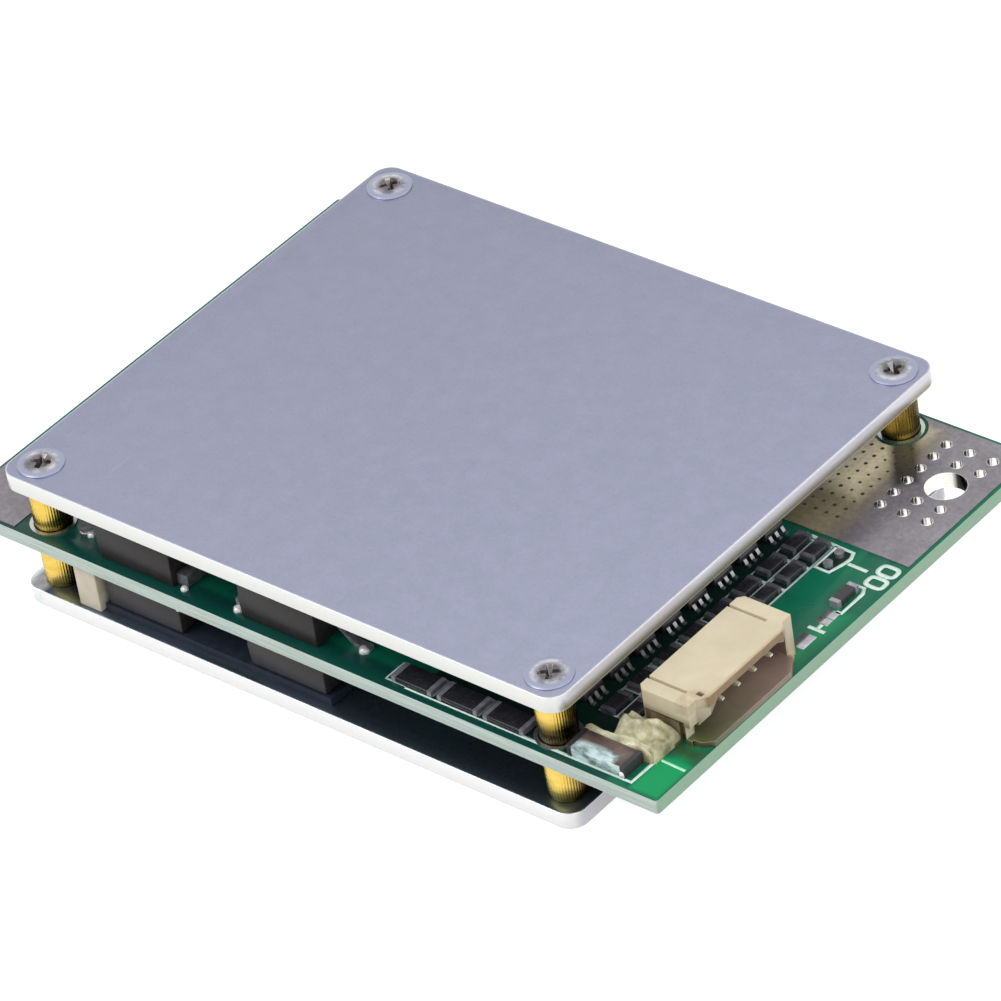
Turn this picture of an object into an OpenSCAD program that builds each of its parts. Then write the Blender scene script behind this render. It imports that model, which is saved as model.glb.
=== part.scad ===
// Battery management board: a power board held between two heat-spreading plates.
// Millimetres, +Z up. The origin lies under the centre of the board, at the height of
// the lowest screw heads. +X points to the connector end, +Y to the back.

/* [Board] */
// Length of the circuit board, along X
board_length = 91.4; // [82:0.1:120]
// Width of the circuit board, along Y
board_width = 60.8; // [54:0.1:70]
// Thickness of the circuit board
board_thickness = 1.6; // [1.2:0.1:3]
// Corner radius of the circuit board
board_corner = 0.4; // [0.2:0.1:2]

/* [Plates] */
// How far the board reaches past the plates at the connector end
near_overhang = 11.15; // [11:0.05:20]
// How far the board reaches past the plates at the far end
far_overhang = 8.05; // [8:0.05:14]
// How far the board reaches past the plates at each long side
side_overhang = 0; // [0:0.05:1]
// Thickness of each heat plate
plate_thickness = 1.9; // [1.6:0.1:3]
// Corner radius of the heat plates
plate_corner = 2; // [1:0.1:4]
// Distance of the screws from the plate's edges
screw_inset = 3.15; // [2.8:0.05:3.6]

/* [Standoffs and screws] */
// Height of each standoff, and so of both gaps
standoff_height = 5.4; // [5:0.1:8]
// Diameter of the standoffs over the knurl
standoff_diameter = 4; // [3.8:0.1:4.6]
// Depth of the knurl's grooves
knurl_depth = 0.16; // [0.08:0.02:0.3]
// Number of grooves round a standoff
knurl_count = 24; // [14:1:30]
// Plain land at each end of a standoff
standoff_land = 0.5; // [0.3:0.1:1]
// Major diameter of the screw threads
thread_diameter = 2.4; // [2:0.1:2.6]
// Gap all round between a thread and its bore
thread_clearance = 0.05; // [0.03:0.01:0.1]
// Reach of the upper standoff's stud below the board
stud_reach = 2.4; // [1.5:0.1:2.6]
// Depth of the upper standoff's threaded hole
standoff_bore = 4.2; // [3.6:0.1:4.4]
// Reach of the screws into the standoffs
screw_reach = 2; // [1.4:0.1:2.3]
// Diameter of the screw heads
head_diameter = 4.7; // [4.2:0.1:5]
// Height of the round top of the head above the plate
head_proud = 0.4; // [0.2:0.05:0.8]
// Width of the cross recess
recess_width = 0.75; // [0.5:0.05:1]
// Length of the cross recess
recess_length = 2.7; // [2:0.1:3.2]
// Depth of the cross recess
recess_depth = 0.9; // [0.5:0.1:1.2]

/* [Power transistors] */
// Body length of a transistor, along X
mosfet_length = 10; // [9:0.1:10.4]
// Body width of a transistor, along Y
mosfet_width = 10.2; // [9.4:0.1:10.8]
// Rows of transistors on each side of the board
mosfet_rows = 5; // [2:1:5]
// Distance of the first and last rows from the plate's long sides
row_inset = 1.1; // [0:0.1:1.6]
// Distance of the two columns' centres from the column line
column_offset = 9.5; // [8.8:0.1:9.8]
// Distance of the columns' middle line from the plate's far end
column_inset = 25.8; // [25.4:0.1:27]
// Thickness of the metal tab
tab_thickness = 1.3; // [1:0.1:1.6]
// How far the tab stands out of the body
tab_reach = 1.3; // [0.8:0.1:1.6]
// Width of the tab
tab_width = 8.4; // [6:0.1:9]
// Reach of the leads from the body
lead_reach = 4.8; // [4:0.1:5]
// Length of the soldered foot of a lead
foot_length = 1.9; // [1:0.1:2.4]
// Width of a lead
lead_width = 0.8; // [0.5:0.05:1.1]
// Thickness of a lead
lead_thickness = 0.5; // [0.3:0.05:0.6]
// Distance of each lead from the body's middle
lead_offset = 2.54; // [2:0.01:3]
// Thickness of the heat-conducting sheets
sheet_thickness = 0.9; // [0.3:0.1:1.2]
// How far the sheets reach past the transistors, along X
sheet_margin = 0.5; // [0:0.1:2]

/* [Terminals] */
// Radius of the terminal bolt holes
bolt_radius = 2.2; // [1.6:0.05:2.6]
// Distance of a bolt hole from the board's end
bolt_from_end = 4.8; // [4:0.1:6]
// Distance of a bolt hole from the board's long edge
bolt_from_side = 8.5; // [7:0.1:10]
// Distance of the first column of solder holes from the bolt, along X
solder_offset = 3.95; // [3.7:0.05:4.2]
// Diameter of the solder holes round the bolt
solder_hole = 1.3; // [0.8:0.1:1.5]
// Pitch of the solder holes, along Y
solder_pitch = 2.2; // [2:0.1:2.4]
// Pitch of the columns of solder holes, along X
solder_column = 2.85; // [2.6:0.05:3]
// Thickness of the tinned copper
tin_thickness = 0.1; // [0.05:0.05:0.2]
// Bare edge of the board round the tinned copper
tin_margin = 0.4; // [0.2:0.1:1]
// Depth of the tinned terminals, along Y
tin_depth = 20.2; // [18:0.1:24]
// Length of the connector end's terminal, along X
tin_length = 17.5; // [14:0.1:19]
// Length of the far end's terminal, along X
far_tin_length = 7.9; // [7:0.1:8.2]
// Width of the tinned ring round a standoff's foot
ring_width = 0.4; // [0.3:0.05:0.6]
// Green gap round a tinned ring
ring_gap = 0.35; // [0.2:0.05:0.6]

/* [Connector] */
// Number of pins in the connector
pin_count = 5; // [3:1:6]
// Pitch of the pins
pin_pitch = 2.5; // [2.5:0.1:2.8]
// Side of a square pin
pin_side = 0.6; // [0.4:0.05:0.8]
// Thickness of a pin where it goes down behind the housing
pin_bend = 0.4; // [0.25:0.05:0.5]
// Length of a pin's foot on the board
pin_foot = 0.5; // [0.4:0.1:0.9]
// Distance of the pins' tips inside the roof's edge
pin_setback = 0.6; // [0.4:0.1:1.5]
// Distance of the last pin from the end of the housing
end_margin = 4; // [3.2:0.1:4.4]
// Distance of the housing's front end from the board's long side
connector_inset = 5.6; // [5.5:0.1:9]
// Depth of the housing's roof, along X
roof_depth = 6.2; // [5.4:0.1:6.6]
// Depth of the housing's floor, along X
floor_depth = 7.6; // [7.2:0.1:8.2]
// Gap between the floor's lip and the board's end
lip_setback = 0; // [0:0.1:0.6]
// Height of the housing
housing_height = 4.9; // [4.6:0.1:5.6]
// Wall of the housing
housing_wall = 0.8; // [0.6:0.05:0.9]
// Thickness of the housing's back wall
back_wall = 1.6; // [1.2:0.1:2]
// Width of the two slits in the roof
slit_width = 0.3; // [0.2:0.05:0.5]
// Length of the two slits in the roof
slit_length = 4.9; // [4:0.1:5]
// Distance of the slits from the ends of the housing
slit_inset = 2.2; // [1.8:0.1:2.8]
// Size of the bevel on the roof's back corners
roof_bevel = 1.3; // [0.6:0.1:1.6]
// Thickness of the metal anchor tabs
anchor_thickness = 0.4; // [0.3:0.05:0.5]
// Reach of the anchor tabs on the board
anchor_reach = 1.6; // [1.4:0.1:2.6]
// Distance of the anchor tabs from the back and front of the roof
anchor_inset = 1.1; // [1:0.1:1.6]

/* [Small parts] */
// Distance of the balancing chips' middle from the board's connector end
chip_from_end = 15.55; // [15.4:0.05:17]
// Distance of the first balancing chip from the tinned copper
chip_from_tin = 2.6; // [1.7:0.1:4]
// Distance of the last balancing chip from the screw at the front, along Y
chip_from_screw = 6.1; // [5:0.1:8]
// Number of balancing chips
chip_count = 8; // [3:1:8]
// Length of a balancing chip, along Y
chip_length = 2.9; // [2.8:0.1:3]
// Width of a balancing chip's body
chip_width = 1.6; // [1.5:0.1:1.8]
// Height of a balancing chip
chip_height = 1.1; // [0.9:0.1:1.3]
// Distance between the chips and the first column of resistors
filter_offset = 3.45; // [3.3:0.05:3.6]
// Distance between the two columns of resistors
bleed_offset = 2.35; // [1.8:0.05:2.6]
// Length of a small resistor, along Y
resistor_length = 3.1; // [2.6:0.1:3.3]
// Width of a small resistor
resistor_width = 1.55; // [1.2:0.05:1.7]
// Height of a small resistor
resistor_height = 0.6; // [0.4:0.05:0.8]
// Length of a front-edge shunt resistor, along X
shunt_length = 5; // [4.4:0.1:5.2]
// Width of a front-edge shunt resistor
shunt_width = 2.4; // [2:0.1:2.8]
// Pitch of the front-edge shunt resistors
shunt_pitch = 5.75; // [5.5:0.05:6]
// Height of a front-edge shunt resistor
shunt_height = 0.65; // [0.4:0.05:1]
// Length of the large resistor at the front corner, along X
sense_length = 7; // [6:0.1:7.4]
// Width of the large resistor
sense_width = 2.9; // [2.4:0.1:3.2]
// Height of the large resistor
sense_height = 1.3; // [0.8:0.1:2]
// Distance of the front-edge resistors from the board's edge
front_margin = 1.05; // [0.6:0.05:1.2]
// Length of a resistor's end cap
cap_length = 0.5; // [0.3:0.05:0.7]
// Length of the small diode, along Y
zener_length = 3.3; // [2.6:0.1:3.6]
// Width of the small diode
zener_width = 1.1; // [0.8:0.1:1.6]
// Height of the small diode
zener_height = 0.8; // [0.5:0.1:1.2]
// Distance of the small diode from the board's connector end
zener_from_end = 2.95; // [2:0.05:4]
// Distance of the small diode from the tinned copper, along Y
zener_from_tin = 7; // [4:0.1:8]
// Distance of the sensor pins from the board's connector end
sensor_from_end = 7.4; // [6:0.1:8]
// Distance of the sensor pins from the tinned copper, along Y
sensor_from_tin = 1.85; // [1:0.05:3]
// Distance between the two sensor pins
sensor_pitch = 1.85; // [1.5:0.05:2.5]
// Body length of the controller chip, along Y
controller_length = 7.8; // [7.2:0.1:8.6]
// Body width of the controller chip
controller_width = 4.4; // [4:0.1:5]
// Height of the controller chip
controller_height = 1.5; // [1:0.1:2]
// Number of leads on each side of the controller chip
controller_leads = 10; // [6:1:10]
// Pitch of the controller chip's leads
controller_pitch = 0.65; // [0.5:0.05:0.7]
// Length of the nylon block under the board, along X
spacer_length = 2.9; // [2:0.1:3.2]
// Width of the nylon block
spacer_width = 2.2; // [1.4:0.1:2.4]
// Radius of each drop in the bead of adhesive beside the connector
bead_radius = 0.7; // [0.6:0.1:1.1]
// Height of the bead of adhesive
bead_height = 0.6; // [0.3:0.1:0.9]

/* [Hidden] */
mosfet_count = 2 * mosfet_rows;

tiny = 0.01;
lower_plate_z = head_proud;
lower_gap_z = lower_plate_z + plate_thickness;
board_z = lower_gap_z + standoff_height;
board_top = board_z + board_thickness;
upper_plate_z = board_top + standoff_height;
upper_plate_top = upper_plate_z + plate_thickness;
board_mid = board_z + board_thickness / 2;
board_end = board_length / 2;
board_side = board_width / 2;
plate_length = board_length - near_overhang - far_overhang;
plate_width = board_width - 2 * side_overhang;
plate_shift = (near_overhang - far_overhang) / 2;
screw_x = plate_length / 2 - screw_inset;
screw_y = plate_width / 2 - screw_inset;
near_screw_x = screw_x - plate_shift;
bore_diameter = thread_diameter + 2 * thread_clearance;
board_clearance = 0.1;
board_hole = bore_diameter + board_clearance;
screw_length = plate_thickness + screw_reach;
screw_chamfer = 0.3;
cone_height = (head_diameter - thread_diameter) / 2;
seat_clearance = 0.04;
head_rim = 0.1;
recess_rim = 0.1;
bolt_x = board_end - bolt_from_end;
bolt_y = board_side - bolt_from_side;
hole_first_column = bolt_x - solder_offset;
tin_front = board_side - tin_margin - tin_depth;
ring_inner = standoff_diameter + 2 * thread_clearance;
ring_diameter = ring_inner + 2 * ring_width;
ring_clear = ring_diameter + 2 * ring_gap;
parting_share = 0.45;
knee_share = 0.35;
column_line = column_inset - plate_length / 2 - plate_shift;
mosfet_pitch = (plate_width - 2 * row_inset - mosfet_width) / (mosfet_rows - 1);
mosfet_height = standoff_height - sheet_thickness;
lead_tip_x = column_line + column_offset + mosfet_length / 2 + lead_reach;
mosfet_draft = 0.12;
mosfet_bevel = 0.25;
slug_length = mosfet_length * 0.62;
housing_length = (pin_count - 1) * pin_pitch + 2 * end_margin;
housing_front = board_end - lip_setback;
housing_back = housing_front - floor_depth;
connector_front = connector_inset - board_side;
connector_middle = connector_front + housing_length / 2;
cavity_height = housing_height - 2 * housing_wall;
pin_height = housing_wall + cavity_height / 2;
bevel_depth = roof_bevel * 0.7;
lip_height = housing_wall * 1.4;
shoulder_height = housing_height * 0.62;
shoulder_reach = 0.3;
anchor_length = roof_depth - 2 * anchor_inset;
anchor_height = housing_height * 0.5;
anchor_gap = 0.2;
undercut_height = anchor_height + anchor_gap;
pin_gap = 0.1;
part_gap = 0.25;
chip_x = board_end - chip_from_end;
chip_top_y = tin_front - chip_from_tin;
chip_pitch = (chip_top_y + screw_y - chip_from_screw) / (chip_count - 1);
chip_gap = 0.1;
chip_draft = 0.08;
chip_bevel = 0.12;
chip_lead_pitch = 0.95;
chip_lead_width = 0.4;
small_lead_thickness = 0.15;
small_lead_reach = 0.75;
small_lead_foot = 0.4;
filter_x = chip_x + filter_offset;
bleed_x = filter_x + bleed_offset;
shunt_last_x = near_screw_x - ring_diameter / 2 - part_gap - shunt_length / 2;
shunt_y = front_margin + shunt_width / 2 - board_side;
sense_x = near_screw_x + ring_diameter / 2 + part_gap + sense_length / 2;
sense_y = front_margin + sense_width / 2 - board_side;
zener_x = board_end - zener_from_end;
zener_y = tin_front - zener_from_tin;
controller_x = (lead_tip_x + chip_x - chip_width / 2 - small_lead_reach) / 2;
controller_y = 0;
controller_lead_width = 0.3;
sensor_x = board_end - sensor_from_end;
sensor_first_y = tin_front - sensor_from_tin;
sensor_diameter = 1;
sensor_height = 0.5;
sheet_end = column_line - column_offset - mosfet_length / 2 - sheet_margin;
spacer_x = sheet_end - part_gap - spacer_length;
spacer_inset = 0.5;
spacer_y = spacer_inset - plate_width / 2;
bead_gap = 0.1;
bead_x = housing_back + anchor_inset - part_gap - bead_radius;
bead_y = connector_front - bead_gap - bead_radius;

// ---- shared shapes ----

// A flat plate with rounded corners, its base at z = 0
module rounded_plate(length, width, thickness, corner) {
    linear_extrude(height = thickness) {
        union() {
            square([length - 2 * corner, width], center = true);
            square([length, width - 2 * corner], center = true);
            for (sx = [-1, 1], sy = [-1, 1]) {
                translate([sx * (length / 2 - corner), sy * (width / 2 - corner)])
                    circle(r = corner, $fn = 48);
            }
        }
    }
}

// Puts a copy at each of the four screw places
module at_screws() {
    for (sx = [-1, 1], sy = [-1, 1]) {
        translate([sx * screw_x - plate_shift, sy * screw_y, 0]) children();
    }
}

// Turns what is made for the board's top over to its underside
module under_board() {
    translate([0, 0, 2 * board_mid]) mirror([0, 0, 1]) children();
}

// ---- plates, screws and standoffs ----

// A heat plate lying at z = 0 to its thickness, countersunk from above
module heat_plate() {
    difference() {
        translate([-plate_shift, 0, 0])
            rounded_plate(plate_length, plate_width, plate_thickness, plate_corner);
        at_screws() {
            translate([0, 0, -tiny])
                cylinder(d = bore_diameter, h = plate_thickness + 2 * tiny, $fn = 48);
            translate([0, 0, plate_thickness - cone_height - seat_clearance])
                cylinder(
                    d1 = bore_diameter,
                    d2 = head_diameter + 4 * seat_clearance,
                    h = cone_height + seat_clearance + tiny,
                    $fn = 48
                );
        }
    }
}

// The round edge of a screw head, from its rim in to the flat round the recess
function dome_arc(steps) =
    let (
        flat = recess_length / 2 + recess_rim
    )
    [for (i = [0 : steps])
        let (a = 90 * i / steps)
        [
            flat + (head_diameter / 2 - flat) * cos(a),
            head_rim + (head_proud - head_rim) * sin(a)
        ]];

// A raised countersunk screw with a cross recess, its plate's surface at z = 0
module screw() {
    difference() {
        rotate_extrude($fn = 48)
            polygon(concat(
                [[0, -screw_length],
                 [thread_diameter / 2 - screw_chamfer, -screw_length],
                 [thread_diameter / 2, screw_chamfer - screw_length],
                 [thread_diameter / 2, -cone_height],
                 [head_diameter / 2, 0]],
                dome_arc(6),
                [[0, head_proud]]
            ));
        for (turn = [0, 90]) {
            rotate([0, 0, turn])
                translate([-recess_length / 2, -recess_width / 2, head_proud - recess_depth])
                    cube([recess_length, recess_width, recess_depth + tiny]);
        }
    }
}

// Outline of the straight knurl: points that lie in and out by turns
function knurl_outline() =
    [for (i = [0 : 2 * knurl_count - 1])
        let (
            r = standoff_diameter / 2 - (i % 2) * knurl_depth,
            a = 180 * i / knurl_count
        )
        [r * cos(a), r * sin(a)]];

// The outside of a standoff, from z = 0 up
module standoff_body() {
    land_diameter = standoff_diameter - 2 * knurl_depth;
    cylinder(d = land_diameter, h = standoff_height, $fn = 48);
    translate([0, 0, standoff_land])
        linear_extrude(height = standoff_height - 2 * standoff_land)
            polygon(knurl_outline());
}

// Lower standoff: threaded right through
module lower_standoff() {
    difference() {
        standoff_body();
        translate([0, 0, -tiny])
            cylinder(d = bore_diameter, h = standoff_height + 2 * tiny, $fn = 48);
    }
}

// Upper standoff: a threaded hole above, a stud through the board below
module upper_standoff() {
    difference() {
        standoff_body();
        translate([0, 0, standoff_height - standoff_bore])
            cylinder(d = bore_diameter, h = standoff_bore + tiny, $fn = 48);
    }
    translate([0, 0, -board_thickness - stud_reach])
        cylinder(d = thread_diameter, h = board_thickness + stud_reach + tiny, $fn = 48);
}

module upper_plate() {
    color([0.66, 0.67, 0.73]) translate([0, 0, upper_plate_z]) heat_plate();
}

module lower_plate() {
    color([0.66, 0.67, 0.73])
        translate([0, 0, lower_gap_z]) mirror([0, 0, 1]) heat_plate();
}

module upper_screws() {
    color([0.78, 0.77, 0.75]) translate([0, 0, upper_plate_top]) at_screws() screw();
}

module lower_screws() {
    color([0.78, 0.77, 0.75])
        translate([0, 0, lower_plate_z]) mirror([0, 0, 1]) at_screws() screw();
}

module upper_standoffs() {
    color([0.80, 0.62, 0.16]) translate([0, 0, board_top]) at_screws() upper_standoff();
}

module lower_standoffs() {
    color([0.80, 0.62, 0.16]) translate([0, 0, lower_gap_z]) at_screws() lower_standoff();
}

// ---- board and tinned copper ----

// The three columns of solder holes round the terminal's bolt
module solder_holes(diameter, height) {
    for (row = [0 : 5]) {
        translate([hole_first_column, bolt_y + (2.5 - row) * solder_pitch, 0])
            cylinder(d = diameter, h = height, $fn = 24);
    }
    for (column = [1, 2], row = [0, 1, 4, 5]) {
        translate([
            hole_first_column + column * solder_column,
            bolt_y + (2.5 - row) * solder_pitch,
            0
        ])
            cylinder(d = diameter, h = height, $fn = 24);
    }
}

module circuit_board() {
    cut = board_thickness + 2 * tiny;
    color([0.05, 0.42, 0.24])
        translate([0, 0, board_z])
            difference() {
                rounded_plate(board_length, board_width, board_thickness, board_corner);
                translate([0, 0, -tiny]) {
                    at_screws() cylinder(d = board_hole, h = cut, $fn = 48);
                    translate([bolt_x, bolt_y, 0]) cylinder(r = bolt_radius, h = cut, $fn = 48);
                    translate([-bolt_x, -bolt_y, 0]) cylinder(r = bolt_radius, h = cut, $fn = 48);
                    solder_holes(solder_hole, cut);
                }
            }
}

// Tinned copper of the connector end, one layer from z = 0 up
module tinning() {
    cut = tin_thickness + 2 * tiny;
    right = board_end - tin_margin;
    back = board_side - tin_margin;
    difference() {
        translate([right - tin_length, back - tin_depth, 0])
            cube([tin_length, tin_depth, tin_thickness]);
        translate([0, 0, -tiny]) {
            translate([bolt_x, bolt_y, 0]) cylinder(r = bolt_radius, h = cut, $fn = 48);
            solder_holes(solder_hole, cut);
            at_screws() cylinder(d = ring_clear, h = cut, $fn = 48);
        }
    }
}

module terminal_tinning() {
    color([0.55, 0.53, 0.55]) {
        translate([0, 0, board_top]) tinning();
        under_board() translate([0, 0, board_top]) tinning();
    }
}

// Tinned copper of the far end, one layer from z = 0 up
module far_tinning() {
    cut = tin_thickness + 2 * tiny;
    difference() {
        translate([tin_margin - board_end, tin_margin - board_side, 0])
            cube([far_tin_length, tin_depth, tin_thickness]);
        translate([0, 0, -tiny]) {
            translate([-bolt_x, -bolt_y, 0]) cylinder(r = bolt_radius, h = cut, $fn = 48);
            at_screws() cylinder(d = ring_clear, h = cut, $fn = 48);
        }
    }
}

module far_terminal_tinning() {
    color([0.55, 0.53, 0.55]) {
        translate([0, 0, board_top]) far_tinning();
        under_board() translate([0, 0, board_top]) far_tinning();
    }
}

// Flat tinned rings round the standoffs' feet, on both faces
module standoff_rings() {
    color([0.75, 0.75, 0.72])
        for (z = [board_top, board_z - tin_thickness]) {
            translate([0, 0, z]) at_screws()
                difference() {
                    cylinder(d = ring_diameter, h = tin_thickness, $fn = 48);
                    translate([0, 0, -tiny])
                        cylinder(d = ring_inner, h = tin_thickness + 2 * tiny, $fn = 48);
                }
        }
}

// ---- power transistors ----

// Transistors are numbered row by row from the front, the far column first.
// Each is drawn with its leads towards +X and turned for the far column.
module at_mosfet(index) {
    row = floor((index - 1) / 2);
    side = (index - 1) % 2 == 0 ? -1 : 1;
    x = column_line + side * column_offset;
    y = (row - (mosfet_rows - 1) / 2) * mosfet_pitch;
    translate([x, y, board_top]) rotate([0, 0, side < 0 ? 180 : 0]) children();
}

// Side outline of a moulded body with drafted walls: flat base, bevelled top edge
function body_outline(length, height, draft, bevel) =
    [[-length / 2 + draft, 0],
     [length / 2 - draft, 0],
     [length / 2, height * parting_share],
     [length / 2 - draft, height - bevel],
     [length / 2 - draft - bevel, height],
     [-length / 2 + draft + bevel, height],
     [-length / 2 + draft, height - bevel],
     [-length / 2, height * parting_share]];

// A moulded body with four drafted sides, standing on z = 0
module moulded_body(length, width, height, draft, bevel) {
    intersection() {
        translate([0, width / 2, 0]) rotate([90, 0, 0])
            linear_extrude(height = width)
                polygon(body_outline(length, height, draft, bevel));
        translate([-length / 2, 0, 0]) rotate([90, 0, 90])
            linear_extrude(height = length)
                polygon(body_outline(width, height, draft, bevel));
    }
}

// The metal tab: a slug inside the body that comes out opposite the leads
module mosfet_tab() {
    translate([-mosfet_length / 2 - tab_reach, -tab_width / 2, 0])
        cube([slug_length + tab_reach, tab_width, tab_thickness]);
}

module mosfet_body() {
    color([0.22, 0.21, 0.22])
        difference() {
            moulded_body(
                mosfet_length, mosfet_width, mosfet_height, mosfet_draft, mosfet_bevel
            );
            translate([0, 0, -tiny]) mosfet_tab();
            mosfet_tab();
        }
}

// A lead bent down to the board, drawn as one folded strip
module bent_lead(start, exit_z, reach, foot, thickness, width) {
    knee = start + (reach - foot) * knee_share;
    toe = start + reach;
    heel = toe - foot;
    translate([0, width / 2, 0]) rotate([90, 0, 0])
        linear_extrude(height = width)
            polygon([
                [start, exit_z],
                [knee - thickness / 2, exit_z],
                [heel, 0],
                [toe, 0],
                [toe, thickness],
                [heel + thickness / 2, thickness],
                [knee, exit_z + thickness],
                [start, exit_z + thickness]
            ]);
}

module mosfet_lead_pair() {
    for (side = [-1, 1]) {
        translate([0, side * lead_offset, 0])
            bent_lead(
                mosfet_length / 2, mosfet_height * parting_share - lead_thickness / 2,
                lead_reach, foot_length, lead_thickness, lead_width
            );
    }
}

module upper_mosfet(index) {
    at_mosfet(index) mosfet_body();
}

module lower_mosfet(index) {
    under_board() at_mosfet(index) mosfet_body();
}

module upper_mosfet_tabs() {
    color([0.70, 0.70, 0.72]) for (i = [1 : mosfet_count]) at_mosfet(i) mosfet_tab();
}

module lower_mosfet_tabs() {
    under_board() upper_mosfet_tabs();
}

module upper_mosfet_leads() {
    color([0.76, 0.76, 0.78]) for (i = [1 : mosfet_count]) at_mosfet(i) mosfet_lead_pair();
}

module lower_mosfet_leads() {
    under_board() upper_mosfet_leads();
}

// Heat-conducting sheet between the transistors and a plate
module upper_heat_sheet() {
    length = 2 * (column_line - sheet_end);
    width = (mosfet_rows - 1) * mosfet_pitch + mosfet_width;
    color([0.30, 0.31, 0.33])
        translate([sheet_end, -width / 2, upper_plate_z - sheet_thickness])
            cube([length, width, sheet_thickness]);
}

module lower_heat_sheet() {
    under_board() upper_heat_sheet();
}

// ---- connector ----

// Outline of the roof seen from above: back corners bevelled, y from 0 to the length
function roof_outline(length, depth) =
    [[0, roof_bevel],
     [bevel_depth, 0],
     [depth, 0],
     [depth, length],
     [bevel_depth, length],
     [0, length - roof_bevel]];

// Side outline of a cheek: full height under the roof, sloping to the floor's lip
function cheek_outline() =
    [[0, 0],
     [floor_depth, 0],
     [floor_depth, lip_height],
     [roof_depth + shoulder_reach, shoulder_height],
     [roof_depth, housing_height],
     [0, housing_height]];

// The housing lies with its back at x = 0 and its ends at y = 0 and y = length
module housing_shape() {
    cavity_width = housing_length - 2 * housing_wall;
    difference() {
        intersection() {
            translate([0, housing_length, 0]) rotate([90, 0, 0])
                linear_extrude(height = housing_length) polygon(cheek_outline());
            linear_extrude(height = housing_height)
                polygon(roof_outline(housing_length, floor_depth));
        }
        // the mouth
        translate([back_wall, housing_wall, housing_wall])
            cube([floor_depth, cavity_width, cavity_height]);
        // slits beside the middle of the roof
        for (y = [slit_inset, housing_length - slit_inset]) {
            translate([-tiny, y - slit_width / 2, housing_height - housing_wall - tiny])
                cube([slit_length, slit_width, housing_wall + 2 * tiny]);
        }
        // holes in the back wall for the pins
        for (i = [0 : pin_count - 1]) {
            translate([
                -tiny,
                end_margin + i * pin_pitch - pin_side / 2,
                pin_height - pin_side / 2
            ])
                cube([back_wall + 2 * tiny, pin_side, pin_side]);
        }
        // undercut at each end, where the anchor tabs lie
        for (y = [-tiny, housing_length - anchor_thickness]) {
            translate([anchor_inset, y, -tiny])
                cube([anchor_length, anchor_thickness + tiny, undercut_height]);
        }
    }
}

module connector_housing() {
    color([0.86, 0.80, 0.66])
        translate([housing_back, connector_middle - housing_length / 2, board_top])
            housing_shape();
}

// A pin: straight through the back wall, then down to its pad behind the housing
module connector_pin() {
    bend = pin_gap + pin_bend;
    tip = roof_depth - pin_setback;
    translate([0, pin_side / 2, 0]) rotate([90, 0, 0])
        linear_extrude(height = pin_side)
            polygon([
                [tip, pin_side / 2],
                [-bend, pin_side / 2],
                [-bend, pin_bend - pin_height],
                [-bend - pin_foot, pin_bend - pin_height],
                [-bend - pin_foot, -pin_height],
                [-pin_gap, -pin_height],
                [-pin_gap, -pin_side / 2],
                [tip, -pin_side / 2]
            ]);
}

module connector_pins() {
    color([0.80, 0.78, 0.70])
        for (i = [0 : pin_count - 1]) {
            translate([
                housing_back,
                connector_middle + (i - (pin_count - 1) / 2) * pin_pitch,
                board_top + pin_height
            ])
                connector_pin();
        }
}

// Metal tabs at both ends: an upright leaf in the undercut and a foot on the board
module connector_anchors() {
    color([0.78, 0.78, 0.76])
        for (side = [-1, 1]) {
            translate([housing_back + anchor_inset, connector_middle, board_top])
                mirror([0, side < 0 ? 1 : 0, 0])
                    translate([0, housing_length / 2 - anchor_thickness, 0]) {
                        cube([anchor_length, anchor_thickness, anchor_height]);
                        cube([anchor_length, anchor_reach, anchor_thickness]);
                    }
        }
}

// ---- small parts ----

// Puts a copy in each row of the balancing circuit
module at_balance_rows(x) {
    for (i = [0 : chip_count - 1]) {
        translate([x, chip_top_y - i * chip_pitch, board_top]) children();
    }
}

// Body of a small chip, just clear of the board
module chip_body(width, length, height) {
    translate([0, 0, chip_gap])
        moulded_body(width, length, height - chip_gap, chip_draft, chip_bevel);
}

// Bent leads along both long sides of a small chip
module chip_leads(width, height, count, pitch, lead_breadth) {
    exit_z = chip_gap + (height - chip_gap) * parting_share - small_lead_thickness / 2;
    for (turn = [0, 180], i = [0 : count - 1]) {
        rotate([0, 0, turn]) translate([0, (i - (count - 1) / 2) * pitch, 0])
            bent_lead(
                width / 2, exit_z,
                small_lead_reach, small_lead_foot, small_lead_thickness, lead_breadth
            );
    }
}

module balance_chips() {
    color([0.16, 0.16, 0.18])
        at_balance_rows(chip_x) chip_body(chip_width, chip_length, chip_height);
}

module balance_chip_leads() {
    color([0.80, 0.80, 0.82])
        at_balance_rows(chip_x)
            chip_leads(chip_width, chip_height, 3, chip_lead_pitch, chip_lead_width);
}

// A block resistor's body, long side along Y, between its end caps
module block_body(length, width, height) {
    translate([-width / 2, -length / 2 + cap_length, 0])
        cube([width, length - 2 * cap_length, height]);
}

// The two metal end caps of a block resistor
module block_caps(length, width, height) {
    for (y = [-length / 2, length / 2 - cap_length]) {
        translate([-width / 2, y, 0]) cube([width, cap_length, height]);
    }
}

module filter_resistors() {
    color([0.13, 0.13, 0.15])
        at_balance_rows(filter_x)
            block_body(resistor_length, resistor_width, resistor_height);
}

module filter_resistor_caps() {
    color([0.72, 0.72, 0.74])
        at_balance_rows(filter_x)
            block_caps(resistor_length, resistor_width, resistor_height);
}

module bleed_resistors() {
    color([0.13, 0.13, 0.15])
        at_balance_rows(bleed_x)
            block_body(resistor_length, resistor_width, resistor_height);
}

module bleed_resistor_caps() {
    color([0.72, 0.72, 0.74])
        at_balance_rows(bleed_x)
            block_caps(resistor_length, resistor_width, resistor_height);
}

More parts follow.
